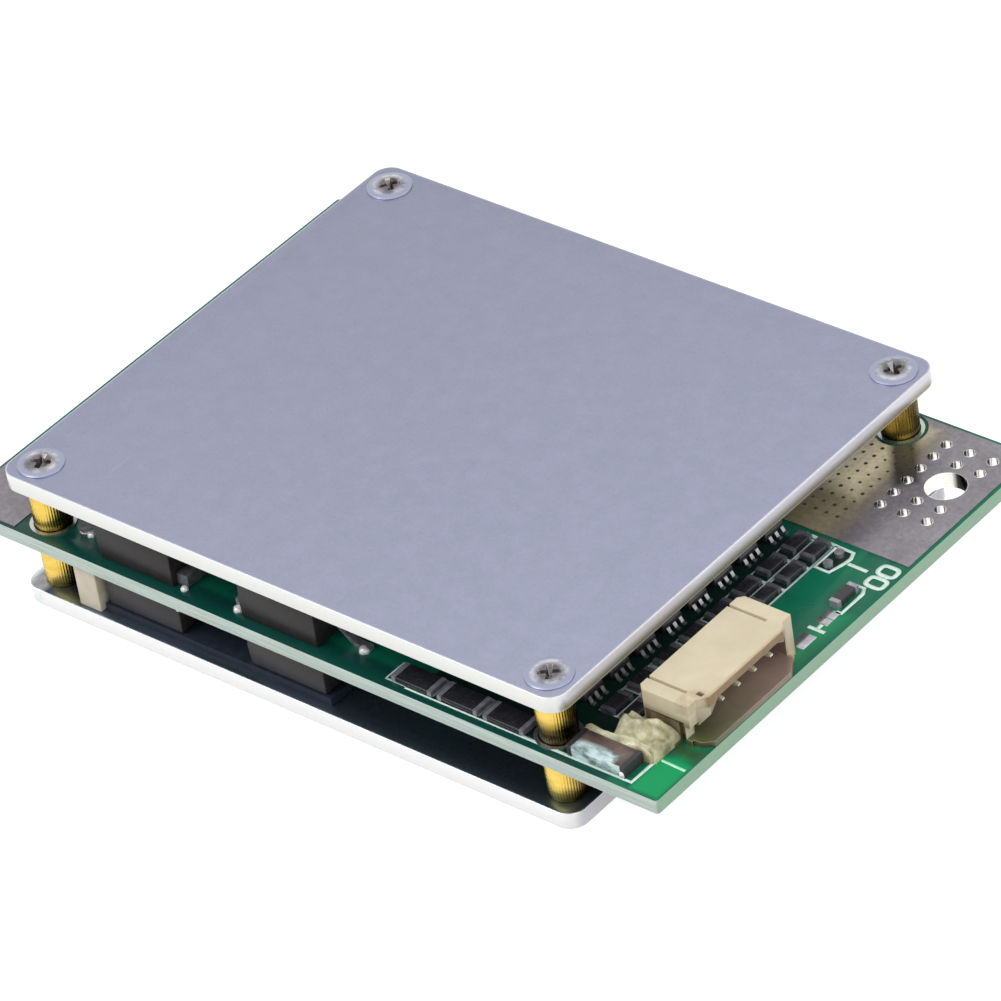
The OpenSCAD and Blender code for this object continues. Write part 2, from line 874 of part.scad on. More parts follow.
// Puts a copy at each shunt resistor on the front edge, turned along X
module at_shunts() {
    for (i = [0 : 2]) {
        translate([shunt_last_x - i * shunt_pitch, shunt_y, board_top])
            rotate([0, 0, 90]) children();
    }
}

module shunt_resistors() {
    color([0.14, 0.13, 0.14]) at_shunts() block_body(shunt_length, shunt_width, shunt_height);
}

module shunt_resistor_caps() {
    color([0.72, 0.72, 0.74]) at_shunts() block_caps(shunt_length, shunt_width, shunt_height);
}

// The large sense resistor at the front corner, beside the connector
module at_sense() {
    translate([sense_x, sense_y, board_top]) rotate([0, 0, 90]) children();
}

module sense_resistor() {
    color([0.30, 0.25, 0.24]) at_sense() block_body(sense_length, sense_width, sense_height);
}

module sense_resistor_caps() {
    color([0.80, 0.82, 0.84]) at_sense() block_caps(sense_length, sense_width, sense_height);
}

// A small diode by the connector end's edge
module at_zener() {
    translate([zener_x, zener_y, board_top]) children();
}

module zener_diode() {
    color([0.15, 0.15, 0.17]) at_zener() block_body(zener_length, zener_width, zener_height);
}

module zener_diode_caps() {
    color([0.75, 0.75, 0.76]) at_zener() block_caps(zener_length, zener_width, zener_height);
}

// The protection controller, under the upper plate
module at_controller() {
    translate([controller_x, controller_y, board_top]) children();
}

module controller_chip() {
    color([0.15, 0.15, 0.16])
        at_controller() chip_body(controller_width, controller_length, controller_height);
}

module controller_chip_leads() {
    color([0.78, 0.78, 0.80])
        at_controller()
            chip_leads(
                controller_width, controller_height,
                controller_leads, controller_pitch, controller_lead_width
            );
}

// Two short round pins that take a temperature sensor's leads
module sensor_pins() {
    color([0.85, 0.85, 0.84])
        for (i = [0, 1]) {
            translate([sensor_x, sensor_first_y - i * sensor_pitch, board_top])
                cylinder(d = sensor_diameter, h = sensor_height, $fn = 32);
        }
}

// A nylon block between the board and the lower plate, at the front edge
module nylon_spacer() {
    color([0.88, 0.84, 0.76])
        translate([spacer_x, spacer_y, lower_gap_z])
            cube([spacer_length, spacer_width, standoff_height]);
}

// Outline of a drop turned about its axis: flat below, domed above
function drop_outline(radius, height) =
    concat([[0, 0]], [for (i = [0 : 8]) [radius * cos(90 * i / 8), height * sin(90 * i / 8)]]);

// A bead of adhesive beside the connector's front end: two drops run together
module adhesive_bead() {
    color([0.80, 0.80, 0.62])
        for (i = [0, 1]) {
            translate([bead_x - i * bead_radius * 1.5, bead_y, board_top])
                rotate_extrude($fn = 48) polygon(drop_outline(bead_radius, bead_height));
        }
}

lower_plate();
upper_plate();
lower_screws();
upper_screws();
lower_standoffs();
upper_standoffs();
circuit_board();
terminal_tinning();
far_terminal_tinning();
standoff_rings();
for (i = [1 : mosfet_count]) {
    upper_mosfet(i);
    lower_mosfet(i);
}
upper_mosfet_tabs();
lower_mosfet_tabs();
upper_mosfet_leads();
lower_mosfet_leads();
upper_heat_sheet();
lower_heat_sheet();
connector_housing();
connector_pins();
connector_anchors();
balance_chips();
balance_chip_leads();
filter_resistors();
filter_resistor_caps();
bleed_resistors();
bleed_resistor_caps();
shunt_resistors();
shunt_resistor_caps();
sense_resistor();
sense_resistor_caps();
zener_diode();
zener_diode_caps();
controller_chip();
controller_chip_leads();
sensor_pins();
nylon_spacer();
adhesive_bead();
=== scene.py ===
import math

import bmesh
import bpy
from mathutils import Matrix, Vector


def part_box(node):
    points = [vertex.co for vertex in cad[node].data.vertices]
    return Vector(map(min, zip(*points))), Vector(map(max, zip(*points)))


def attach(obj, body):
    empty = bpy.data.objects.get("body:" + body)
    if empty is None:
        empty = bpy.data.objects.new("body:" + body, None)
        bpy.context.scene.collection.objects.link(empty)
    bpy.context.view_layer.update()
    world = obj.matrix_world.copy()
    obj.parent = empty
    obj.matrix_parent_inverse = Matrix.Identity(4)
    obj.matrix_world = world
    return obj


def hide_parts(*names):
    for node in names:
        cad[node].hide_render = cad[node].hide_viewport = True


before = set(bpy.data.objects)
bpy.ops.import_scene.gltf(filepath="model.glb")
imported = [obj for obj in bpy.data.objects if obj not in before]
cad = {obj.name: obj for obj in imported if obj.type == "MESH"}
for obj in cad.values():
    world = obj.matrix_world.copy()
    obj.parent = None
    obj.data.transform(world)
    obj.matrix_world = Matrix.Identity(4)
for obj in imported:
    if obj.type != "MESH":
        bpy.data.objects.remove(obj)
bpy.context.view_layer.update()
mm = 0.001


# small helpers for meshes

def objectFrom(name, mesh):
    piece = bpy.data.objects.new(name, mesh)
    bpy.context.scene.collection.objects.link(piece)
    return piece


def built(name, build):
    # an object whose mesh the build function fills
    mesh = bpy.data.meshes.new(name)
    work = bmesh.new()
    build(work)
    work.to_mesh(mesh)
    work.free()
    return objectFrom(name, mesh)


def circle(work, radii, z):
    # a ring of corners, one for each radius
    step = math.tau / len(radii)
    return [
        work.verts.new((r * math.cos(step * i), r * math.sin(step * i), z))
        for i, r in enumerate(radii)
    ]


def joinRings(work, rings, capped=True):
    for below, above in zip(rings, rings[1:]):
        for i in range(len(below)):
            j = (i + 1) % len(below)
            work.faces.new((below[i], below[j], above[j], above[i]))
    if capped:
        work.faces.new(rings[-1])
        work.faces.new(rings[0][::-1])


def smoothSides(mesh, degrees):
    mesh.shade_smooth()
    mesh.set_sharp_from_angle(angle=math.radians(degrees))


def addBevel(piece, width, segments, angle):
    bevel = piece.modifiers.new("edges", "BEVEL")
    bevel.width, bevel.segments = width, segments
    bevel.limit_method, bevel.angle_limit = "ANGLE", math.radians(angle)


def addCut(piece, tool, operation="DIFFERENCE"):
    cut = piece.modifiers.new("cut", "BOOLEAN")
    cut.operation, cut.solver, cut.object = operation, "EXACT", tool
    return cut


def applyModifiers(piece):
    # the evaluated piece becomes one ordinary mesh
    graph = bpy.context.evaluated_depsgraph_get()
    graph.update()
    mesh = bpy.data.meshes.new_from_object(piece.evaluated_get(graph), depsgraph=graph)
    mesh.name = piece.name
    piece.modifiers.clear()
    piece.data = mesh


def finishPiece(piece, finish, nodes=()):
    if finish:
        piece.data.materials.clear()
        piece.data.materials.append(materials[finish])
    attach(piece, "root")
    if nodes:
        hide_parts(*nodes)


def cornerPlaces(node, radius, level):
    # the middles of four round parts that fill the corners of a node's box
    low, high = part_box(node)
    return [
        (x, y, level) for x in (low.x + radius, high.x - radius)
        for y in (low.y + radius, high.y - radius)
    ]


# small helpers for node trees

def put(tree, kind, values=None, **settings):
    # a new node; a value that is another node's output is wired in
    node = tree.nodes.new(kind)
    for key, value in settings.items():
        setattr(node, key, value)
    for key, value in (values or {}).items():
        if hasattr(value, "is_output"):
            tree.links.new(value, node.inputs[key])
        else:
            node.inputs[key].default_value = value
    return node


def wire(tree, source, target):
    tree.links.new(source, target)


def newGroup(name, kind, inputs, outputs):
    tree = bpy.data.node_groups.new(name, kind)
    for label, socket, value in inputs:
        made = tree.interface.new_socket(
            label, in_out="INPUT", socket_type="NodeSocket" + socket
        )
        if value is not None:
            made.default_value = value
    for label, socket in outputs:
        tree.interface.new_socket(
            label, in_out="OUTPUT", socket_type="NodeSocket" + socket
        )
    start, end = tree.nodes.new("NodeGroupInput"), tree.nodes.new("NodeGroupOutput")
    return tree, start.outputs, end.inputs


def mapRange(tree, source, low, high, toLow=0.0, toHigh=1.0):
    return put(tree, "ShaderNodeMapRange", {
        "Value": source, "From Min": low, "From Max": high,
        "To Min": toLow, "To Max": toHigh,
    }, clamp=True).outputs["Result"]


def maths(tree, operation, *values):
    node = put(tree, "ShaderNodeMath", dict(enumerate(values)), operation=operation)
    return node.outputs[0]


def times(tree, first, *others):
    for other in others:
        first = maths(tree, "MULTIPLY", first, other)
    return first


def vectorMaths(tree, operation, *values):
    node = put(tree, "ShaderNodeVectorMath", dict(enumerate(values)), operation=operation)
    return node.outputs["Value" if operation == "DOT_PRODUCT" else 0]


def blendColour(tree, factor, a, b, mode="MIX"):
    a, b = (tone if hasattr(tone, "is_output") else (*tone, 1.0) for tone in (a, b))
    return put(
        tree, "ShaderNodeMix", {0: factor, 6: a, 7: b}, data_type="RGBA", blend_type=mode
    ).outputs[2]


def tinted(tree, colour, mask, amount, tone):
    # a tone laid over a colour where a mask says, up to an amount
    return blendColour(tree, times(tree, mask, amount), colour, tone)


def objectPlace(tree):
    return put(tree, "ShaderNodeTexCoord").outputs["Object"]


def placeAlong(tree, axis):
    split = put(tree, "ShaderNodeSeparateXYZ", {0: objectPlace(tree)})
    return split.outputs["XYZ".index(axis)]


def between(tree, axis, low, high):
    # 0 to 1 between two places along an axis, in millimetres
    return mapRange(tree, placeAlong(tree, axis), low * mm, high * mm)


def facing(tree, direction, low, high):
    # 0 to 1 as the surface turns towards a direction
    normal = put(tree, "ShaderNodeTexCoord").outputs["Normal"]
    return mapRange(tree, vectorMaths(tree, "DOT_PRODUCT", normal, direction), low, high)


# effects shared by several materials

def buildGrain():
    # soft cloudy variation, with a height for bumps
    tree, start, end = newGroup(
        "surfaceGrain", "ShaderNodeTree",
        [("Scale", "Float", 400.0), ("Stretch", "Vector", (1.0, 1.0, 1.0)),
         ("Low", "Float", 0.35), ("High", "Float", 0.65)],
        [("Mask", "Float"), ("Height", "Float")],
    )
    stretched = vectorMaths(tree, "MULTIPLY", objectPlace(tree), start["Stretch"])
    noise = put(tree, "ShaderNodeTexNoise", {
        "Vector": stretched, "Scale": start["Scale"], "Detail": 5.0, "Roughness": 0.6,
    }).outputs[0]
    wire(tree, mapRange(tree, noise, start["Low"], start["High"]), end["Mask"])
    wire(tree, noise, end["Height"])
    return tree


def buildEdgeWearAndHighlight():
    # 1 along sharp outer edges, 0 on flats
    tree, start, end = newGroup(
        "edgeWear", "ShaderNodeTree",
        [("Radius", "Float", 0.0002), ("Low", "Float", 0.02), ("High", "Float", 0.25)],
        [("Edge", "Float")],
    )
    soft = put(tree, "ShaderNodeBevel", {"Radius": start["Radius"]}, samples=6)
    flat = put(tree, "ShaderNodeNewGeometry").outputs["True Normal"]
    turned = maths(
        tree, "SUBTRACT", 1.0, vectorMaths(tree, "DOT_PRODUCT", soft.outputs[0], flat)
    )
    wire(tree, mapRange(tree, turned, start["Low"], start["High"]), end["Edge"])
    return tree


def buildPatch():
    # a soft rectangle laid on the board, by its middle and half size
    tree, start, end = newGroup(
        "areaPatch", "ShaderNodeTree",
        [("Middle", "Vector", (0.0, 0.0, 0.0)), ("Half Size", "Vector", (0.01, 0.01, 1.0)),
         ("Soft", "Float", 0.0005), ("Turn", "Float", 0.0)],
        [("Mask", "Float")],
    )
    away = vectorMaths(tree, "SUBTRACT", objectPlace(tree), start["Middle"])
    turned = put(
        tree, "ShaderNodeVectorRotate", {"Vector": away, "Angle": start["Turn"]},
        rotation_type="Z_AXIS",
    )
    size = vectorMaths(tree, "ABSOLUTE", turned.outputs[0])
    room = vectorMaths(tree, "SUBTRACT", start["Half Size"], size)
    split = put(tree, "ShaderNodeSeparateXYZ", {0: room}).outputs
    least = maths(tree, "MINIMUM", split[0], split[1])
    least = maths(tree, "MINIMUM", least, split[2])
    wire(tree, mapRange(tree, least, 0.0, start["Soft"]), end["Mask"])
    return tree


grainGroup, edgeGroup, patchGroup = buildGrain(), buildEdgeWearAndHighlight(), buildPatch()
print("shared effects built")


# Geometry Nodes: repeated pieces and lines that follow a path

def outputPainted(tree, geometry, finish, end):
    real = put(tree, "GeometryNodeRealizeInstances", {0: geometry})
    paint = put(tree, "GeometryNodeSetMaterial", {
        "Geometry": real.outputs[0], "Material": finish,
    })
    wire(tree, paint.outputs[0], end["Geometry"])


def buildScatter():
    # one copy of a piece at every point, each turned and sized a little differently
    tree, start, end = newGroup(
        "piecesAtPoints", "GeometryNodeTree",
        [("Geometry", "Geometry", None), ("Piece", "Object", None),
         ("Smallest", "Float", 1.0), ("Largest", "Float", 1.0), ("Turn", "Float", 0.0),
         ("Seed", "Int", 1), ("Finish", "Material", None)],
        [("Geometry", "Geometry")],
    )
    source = put(tree, "GeometryNodeObjectInfo", {"Object": start["Piece"]})
    size = put(tree, "FunctionNodeRandomValue", {
        2: start["Smallest"], 3: start["Largest"], "Seed": start["Seed"],
    }, data_type="FLOAT")
    turn = put(tree, "FunctionNodeRandomValue", {
        2: maths(tree, "MULTIPLY", start["Turn"], -1.0), 3: start["Turn"],
        "Seed": start["Seed"],
    }, data_type="FLOAT")
    spin = put(tree, "ShaderNodeCombineXYZ", {"Z": turn.outputs[1]})
    copies = put(tree, "GeometryNodeInstanceOnPoints", {
        "Points": start["Geometry"], "Instance": source.outputs["Geometry"],
        "Rotation": spin.outputs[0], "Scale": size.outputs[1],
    })
    outputPainted(tree, copies.outputs[0], start["Finish"], end)
    return tree


def buildSweep():
    # a flat strip laid along every line of the mesh
    tree, start, end = newGroup(
        "stripAlongPath", "GeometryNodeTree",
        [("Geometry", "Geometry", None), ("Width", "Float", 0.0002),
         ("Height", "Float", 0.00003), ("Finish", "Material", None)],
        [("Geometry", "Geometry")],
    )
    path = put(tree, "GeometryNodeMeshToCurve", {0: start["Geometry"]})
    upright = put(tree, "GeometryNodeSetCurveNormal", {0: path.outputs[0]}, mode="Z_UP")
    section = put(tree, "GeometryNodeCurvePrimitiveQuadrilateral", {
        "Width": start["Width"], "Height": start["Height"],
    })
    sweep = put(tree, "GeometryNodeCurveToMesh", {
        0: upright.outputs[0], 1: section.outputs[0], "Fill Caps": True,
    })
    outputPainted(tree, sweep.outputs[0], start["Finish"], end)
    return tree


scatterTree, sweepTree = buildScatter(), buildSweep()


def runTree(name, mesh, tree, values):
    piece = objectFrom(name, mesh)
    modifier = piece.modifiers.new("build", "NODES")
    modifier.node_group = tree
    sockets = {
        item.name: item.identifier for item in tree.interface.items_tree
        if item.item_type == "SOCKET" and item.in_out == "INPUT"
    }
    for label, value in values.items():
        modifier[sockets[label]] = value
    applyModifiers(piece)
    return piece


def copiesAt(
    name, places, source, finish, nodes=(), sizes=(1.0, 1.0), turn=0.0, seed=1,
    smooth=40
):
    points = bpy.data.meshes.new(name + "Points")
    points.from_pydata([tuple(place) for place in places], [], [])
    piece = runTree(name, points, scatterTree, {
        "Piece": source, "Smallest": sizes[0], "Largest": sizes[1], "Turn": turn,
        "Seed": seed, "Finish": materials[finish],
    })
    if smooth:
        smoothSides(piece.data, smooth)
    bpy.data.objects.remove(source)
    finishPiece(piece, None, nodes)


# helpers for materials

def effect(tree, group, **values):
    # an underscore stands for the space in an input's name
    node = put(tree, "ShaderNodeGroup", node_tree=group)
    for key, value in values.items():
        node.inputs[key.replace("_", " ")].default_value = value
    return node.outputs


def grain(tree, scale, low=0.3, high=0.7, stretch=(1.0, 1.0, 1.0)):
    made = effect(tree, grainGroup, Scale=scale, Stretch=stretch, Low=low, High=high)
    return made["Mask"], made["Height"]


def wearAndHighlight(tree, colour, tone, amount, radius, low=0.02, high=0.25):
    # a lighter tone along sharp edges: partly wear, partly painted highlight
    edgeWearAndGlint = effect(tree, edgeGroup, Radius=radius, Low=low, High=high)
    return tinted(tree, colour, edgeWearAndGlint["Edge"], amount, tone)


def softArea(tree, middle, half, soft, turn=0.0):
    # a soft rectangle of the board, in millimetres
    return effect(
        tree, patchGroup, Middle=(middle[0] * mm, middle[1] * mm, 0.0),
        Half_Size=(half[0] * mm, half[1] * mm, 1.0), Soft=soft * mm, Turn=turn,
    )["Mask"]


def startMaterial(name, **fixed):
    material = bpy.data.materials.new(name)
    material.use_nodes = True
    tree = material.node_tree
    tree.nodes.clear()
    shader = put(tree, "ShaderNodeBsdfPrincipled")
    put(tree, "ShaderNodeOutputMaterial", {"Surface": shader.outputs[0]})
    for key, value in fixed.items():
        shader.inputs[key.replace("_", " ")].default_value = value
    return material, tree, shader


def uneven(tree, height, low, high):
    # a roughness that varies with a grain's height
    return mapRange(tree, height, 0.3, 0.7, low, high)


def dress(tree, shader, colour, rough, height, strength, depth):
    wire(tree, colour, shader.inputs["Base Color"])
    wire(tree, rough, shader.inputs["Roughness"])
    bump = put(tree, "ShaderNodeBump", {
        "Height": height, "Strength": strength, "Distance": depth,
    })
    wire(tree, bump.outputs[0], shader.inputs["Normal"])


def grainedMaterial(
    name, dark, light, scale, roughness, metallic=0.0, edge=None, edgeAmount=0.5,
    edgeRadius=0.00015, bump=0.2, **fixed
):
    # two close tones, uneven roughness, a fine bump and lighter edges
    material, tree, shader = startMaterial(name, Metallic=metallic, **fixed)
    mask, height = grain(tree, scale)
    colour = blendColour(tree, mask, dark, light)
    if edge:
        colour = wearAndHighlight(tree, colour, edge, edgeAmount, edgeRadius)
    rough = uneven(tree, height, roughness - 0.06, roughness + 0.06)
    dress(tree, shader, colour, rough, height, bump, 0.00002)
    return material


# materials

plateFinish = {
    "dark": (0.292, 0.305, 0.402), "light": (0.372, 0.392, 0.512),
    "scratch": (0.62, 0.62, 0.66), "side": (0.88, 0.89, 0.86),
    "lowerSideLit": (0.97, 0.97, 0.97), "endHigh": (0.74, 0.72, 0.78),
    "endShade": (0.30, 0.27, 0.19), "lowFaceShade": (0.14, 0.19, 0.25),
    "farCorner": (0.9, 0.93, 0.95), "edge": (0.92, 0.92, 0.96),
}


def makePlateMaterial():
    material, tree, shader = startMaterial("satinPlate")
    tones, (low, high) = plateFinish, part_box("upper_plate")
    cloud, cloudHeight = grain(tree, 520.0)
    fine, fineHeight = grain(tree, 2600.0, 0.1, 0.9)
    # painted light: a little paler towards the connector and the front
    lightDrift = vectorMaths(tree, "DOT_PRODUCT", objectPlace(tree), (0.75, -0.66, 0.0))
    lightDrift = mapRange(tree, lightDrift, -0.042, 0.046)
    colour = blendColour(tree, lightDrift, tones["dark"], tones["light"])
    mottle = blendColour(tree, cloud, (0.955, 0.965, 0.95), (1.04, 1.03, 1.05))
    colour = blendColour(tree, 1.0, colour, mottle, "MULTIPLY")
    speckle = blendColour(tree, fine, (0.92, 0.92, 0.93), (1.06, 1.06, 1.06))
    colour = blendColour(tree, 1.0, colour, speckle, "MULTIPLY")
    # light scratches near the far front corner
    area = softArea(tree, (low.x / mm + 7, low.y / mm + 6), (6, 4.5), 3)
    lines, _ = grain(tree, 900.0, 0.62, 0.72, (1.6, 0.12, 1.0))
    colour = tinted(tree, colour, times(tree, lines, area), 0.45, tones["scratch"])
    # the cut sides are bare metal, the faces are satin
    up = facing(tree, (0.0, 0.0, 1.0), 0.45, 0.85)
    down = facing(tree, (0.0, 0.0, -1.0), 0.45, 0.85)
    flatness = maths(tree, "MAXIMUM", up, down)
    # painted shade: the end over the chips is darker and browner along its lower half, for
    # the dark surroundings it reflects
    middle = (low.z + high.z) / 2 / mm
    lit = between(tree, "Z", middle - 0.6, middle + 0.2)
    lower = between(tree, "Z", middle - 4.0, middle - 5.0)
    endTone = blendColour(
        tree, maths(tree, "MAXIMUM", lit, lower), tones["endShade"], tones["endHigh"]
    )
    # painted light: the lower plate's cut sides are paler than the upper plate's
    frontTone = blendColour(tree, lower, tones["side"], tones["lowerSideLit"])
    ending = facing(tree, (1.0, 0.0, 0.0), 0.75, 0.95)
    sides = blendColour(tree, ending, frontTone, endTone)
    # painted shade: the lower plate's top face, under the board, is darkened
    lowPlate = between(tree, "Z", 3.5, 3.0)
    colour = tinted(tree, colour, up, lowPlate, tones["lowFaceShade"])
    colour = blendColour(tree, flatness, sides, colour)
    metal = maths(tree, "ADD", 0.2, times(tree, flatness, 0.72))
    wire(tree, metal, shader.inputs["Metallic"])
    # the lower plate's far corner catches the light past the board
    lift = softArea(tree, (-37.0, -28.5), (2.6, 3.4), 0.8)
    colour = tinted(tree, colour, lift, lowPlate, tones["farCorner"])
    colour = wearAndHighlight(tree, colour, tones["edge"], 0.85, 0.00030, 0.02, 0.16)
    rough = put(tree, "ShaderNodeMix", {
        0: flatness, 2: uneven(tree, cloudHeight, 0.16, 0.26),
        3: uneven(tree, fineHeight, 0.26, 0.36),
    })
    dress(tree, shader, colour, rough.outputs[0], fineHeight, 0.05, 0.00001)
    return material


maskFinish = {
    "deep": (0.004, 0.085, 0.050), "bright": (0.004, 0.150, 0.080),
    "rim": (0.001, 0.290, 0.092), "shade": (0.006, 0.011, 0.010),
    "front": (0.004, 0.045, 0.040), "stain": (0.030, 0.062, 0.022),
    "cutDark": (0.48, 0.57, 0.51), "cutLight": (0.60, 0.72, 0.67),
    "cutEndShade": (0.31, 0.49, 0.35),
}


def makeBoardMaterial():
    material, tree, shader = startMaterial("greenMask", IOR=1.45, Specular_IOR_Level=0.28)
    end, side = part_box("circuit_board")[1].x / mm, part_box("circuit_board")[1].y / mm
    cloud, cloudHeight = grain(tree, 90.0)
    _, weaveHeight = grain(tree, 1500.0)
    colour = blendColour(tree, cloud, maskFinish["deep"], maskFinish["bright"])
    for middle, half, soft, tone, amount in (
        # painted light: a brighter green along the end and at its corner
        ((end - 1.7, -14.0), (1.6, 15.5), 2.2, "rim", 0.8),
        ((end - 1.9, -side + 3.0), (1.9, 2.9), 0.5, "rim", 0.9),
        # painted shade: dark ground between the chips and resistors, beside the third shunt
        # and along the front; the inside of the printed box by the terminal is darkened
        # with the same tone
        ((26.0, -10.4), (11.0, 18.4), 0.4, "shade", 0.9),
        ((0.0, -side + 0.6), (40.0, 2.6), 0.8, "front", 0.85),
        ((end - 7.4, side - 23.4), (1.25, 1.9), 0.3, "shade", 0.9),
        ((31.0, -28.3), (3.2, 1.0), 0.5, "shade", 0.85),
        # a darker olive green in front of the connector's left corner
        ((end - 2.1, -23.2), (2.4, 1.3), 1.0, "stain", 0.85),
    ):
        area = softArea(tree, middle, half, soft)
        colour = tinted(tree, colour, area, amount, maskFinish[tone])
    # the cut edge is pale laminate
    up = facing(tree, (0.0, 0.0, 1.0), 0.5, 0.8)
    down = facing(tree, (0.0, 0.0, -1.0), 0.5, 0.8)
    layers, _ = grain(tree, 700.0, 0.35, 0.65, (0.25, 0.25, 6.0))
    cut = blendColour(tree, layers, maskFinish["cutDark"], maskFinish["cutLight"])
    # painted shade: the end is a darker green than the front cut edge
    ending = facing(tree, (1.0, 0.0, 0.0), 0.6, 0.9)
    cut = blendColour(tree, ending, cut, maskFinish["cutEndShade"])
    colour = blendColour(tree, maths(tree, "MAXIMUM", up, down), cut, colour)
    rough = uneven(tree, cloudHeight, 0.20, 0.34)
    dress(tree, shader, colour, rough, weaveHeight, 0.06, 0.00001)
    return material


tinFinish = {
    "dark": (0.190, 0.180, 0.200), "light": (0.290, 0.275, 0.300),
    "creamReflection": (1.0, 0.90, 0.60), "olive": (0.34, 0.29, 0.15),
    "standoffReflection": (0.050, 0.048, 0.050),
}


def makeTinMaterial():
    material, tree, shader = startMaterial("dullTin")
    cloud, cloudHeight = grain(tree, 260.0)
    fine, fineHeight = grain(tree, 2000.0)
    colour = blendColour(tree, cloud, tinFinish["dark"], tinFinish["light"])
    low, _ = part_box("terminal_tinning")
    x, y = low.x / mm, low.y / mm
    # painted reflection and shade: a cream sheen on the tin beside the plate, turning olive
    # brown in the plate's shade close to its edge
    plateShade = softArea(tree, (x + 3.5, y + 8.0), (6.0, 12.0), 3.0)
    colour = tinted(tree, colour, plateShade, 0.8, tinFinish["olive"])
    pale = softArea(tree, (x + 3.6, y + 12.4), (4.0, 7.2), 3.0)
    colour = tinted(tree, colour, pale, 0.95, tinFinish["creamReflection"])
    # painted reflection: a dark streak in front of the standoff, where the tin mirrors it
    standoffReflection = softArea(tree, (x + 6.9, y + 13.6), (1.75, 4.6), 0.9, turn=-0.69)
    colour = tinted(tree, colour, standoffReflection, 0.93, tinFinish["standoffReflection"])
    dull = maths(tree, "MAXIMUM", times(tree, plateShade, 0.3), times(tree, pale, 0.42))
    wire(tree, maths(tree, "SUBTRACT", 0.42, dull), shader.inputs["Metallic"])
    mottle = blendColour(tree, fine, (0.82, 0.80, 0.83), (1.14, 1.12, 1.10))
    colour = blendColour(tree, 1.0, colour, mottle, "MULTIPLY")
    rough = uneven(tree, cloudHeight, 0.20, 0.32)
    dress(tree, shader, colour, rough, fineHeight, 0.25, 0.00002)
    return material


def makeHoleMaterial(name, shadeSide, tone):
    # bright plated wall with a dark side
    material, tree, shader = startMaterial(name, Metallic=1.0)
    mask, height = grain(tree, 1500.0)
    colour = blendColour(tree, mask, tone, (0.99, 0.985, 0.97))
    dark = facing(tree, shadeSide, 0.86, 0.96)
    colour = blendColour(tree, dark, colour, (0.045, 0.042, 0.040))
    rough = uneven(tree, height, 0.10, 0.22)
    dress(tree, shader, colour, rough, height, 0.15, 0.00001)
    return material


# the connector's moulding, in millimetres: x from the back to the front, y from the
# near end to the far one, heights above the board
housing = {
    "back": 37.75, "front": 44.6, "near": -22.4, "far": -6.35, "bevel": 0.55,
    "cheekDepth": 43.8, "lip": 45.65, "floor": 0.7, "tall": 4.9, "roof": 0.9,
    "wall": 1.25, "backWall": 1.5, "slitEnd": 42.4, "slitWidth": 0.36,
    "slits": (-20.65, -8.25), "notch": (38.0, 43.1), "notchTall": 2.7, "notchDeep": 0.5,
    "pinMiddle": -14.95, "pinPitch": 2.5, "pinTip": 43.95, "pinLevel": 2.45,
    "pins": 5, "pinHole": 0.21, "anchor": 40.6, "past": 47.0,
    "dot": (43.3, 44.0, -20.45, -19.95), "gap": (43.2, 2.25),
}
ivoryFinish = {
    "dark": (0.53, 0.455, 0.315), "light": (0.65, 0.58, 0.42),
    "frontFootShade": (0.12, 0.085, 0.030),
    "olive": ((0.040, 0.055, 0.016), (0.070, 0.085, 0.026)),
    "brown": ((0.200, 0.138, 0.110), (0.300, 0.215, 0.185)),
    "line": (0.20, 0.105, 0.03), "rim": (0.36, 0.22, 0.08), "dotHoleShade": (0.09, 0.045, 0.025),
    "nose": (0.24, 0.13, 0.04), "edge": (0.70, 0.66, 0.46),
}


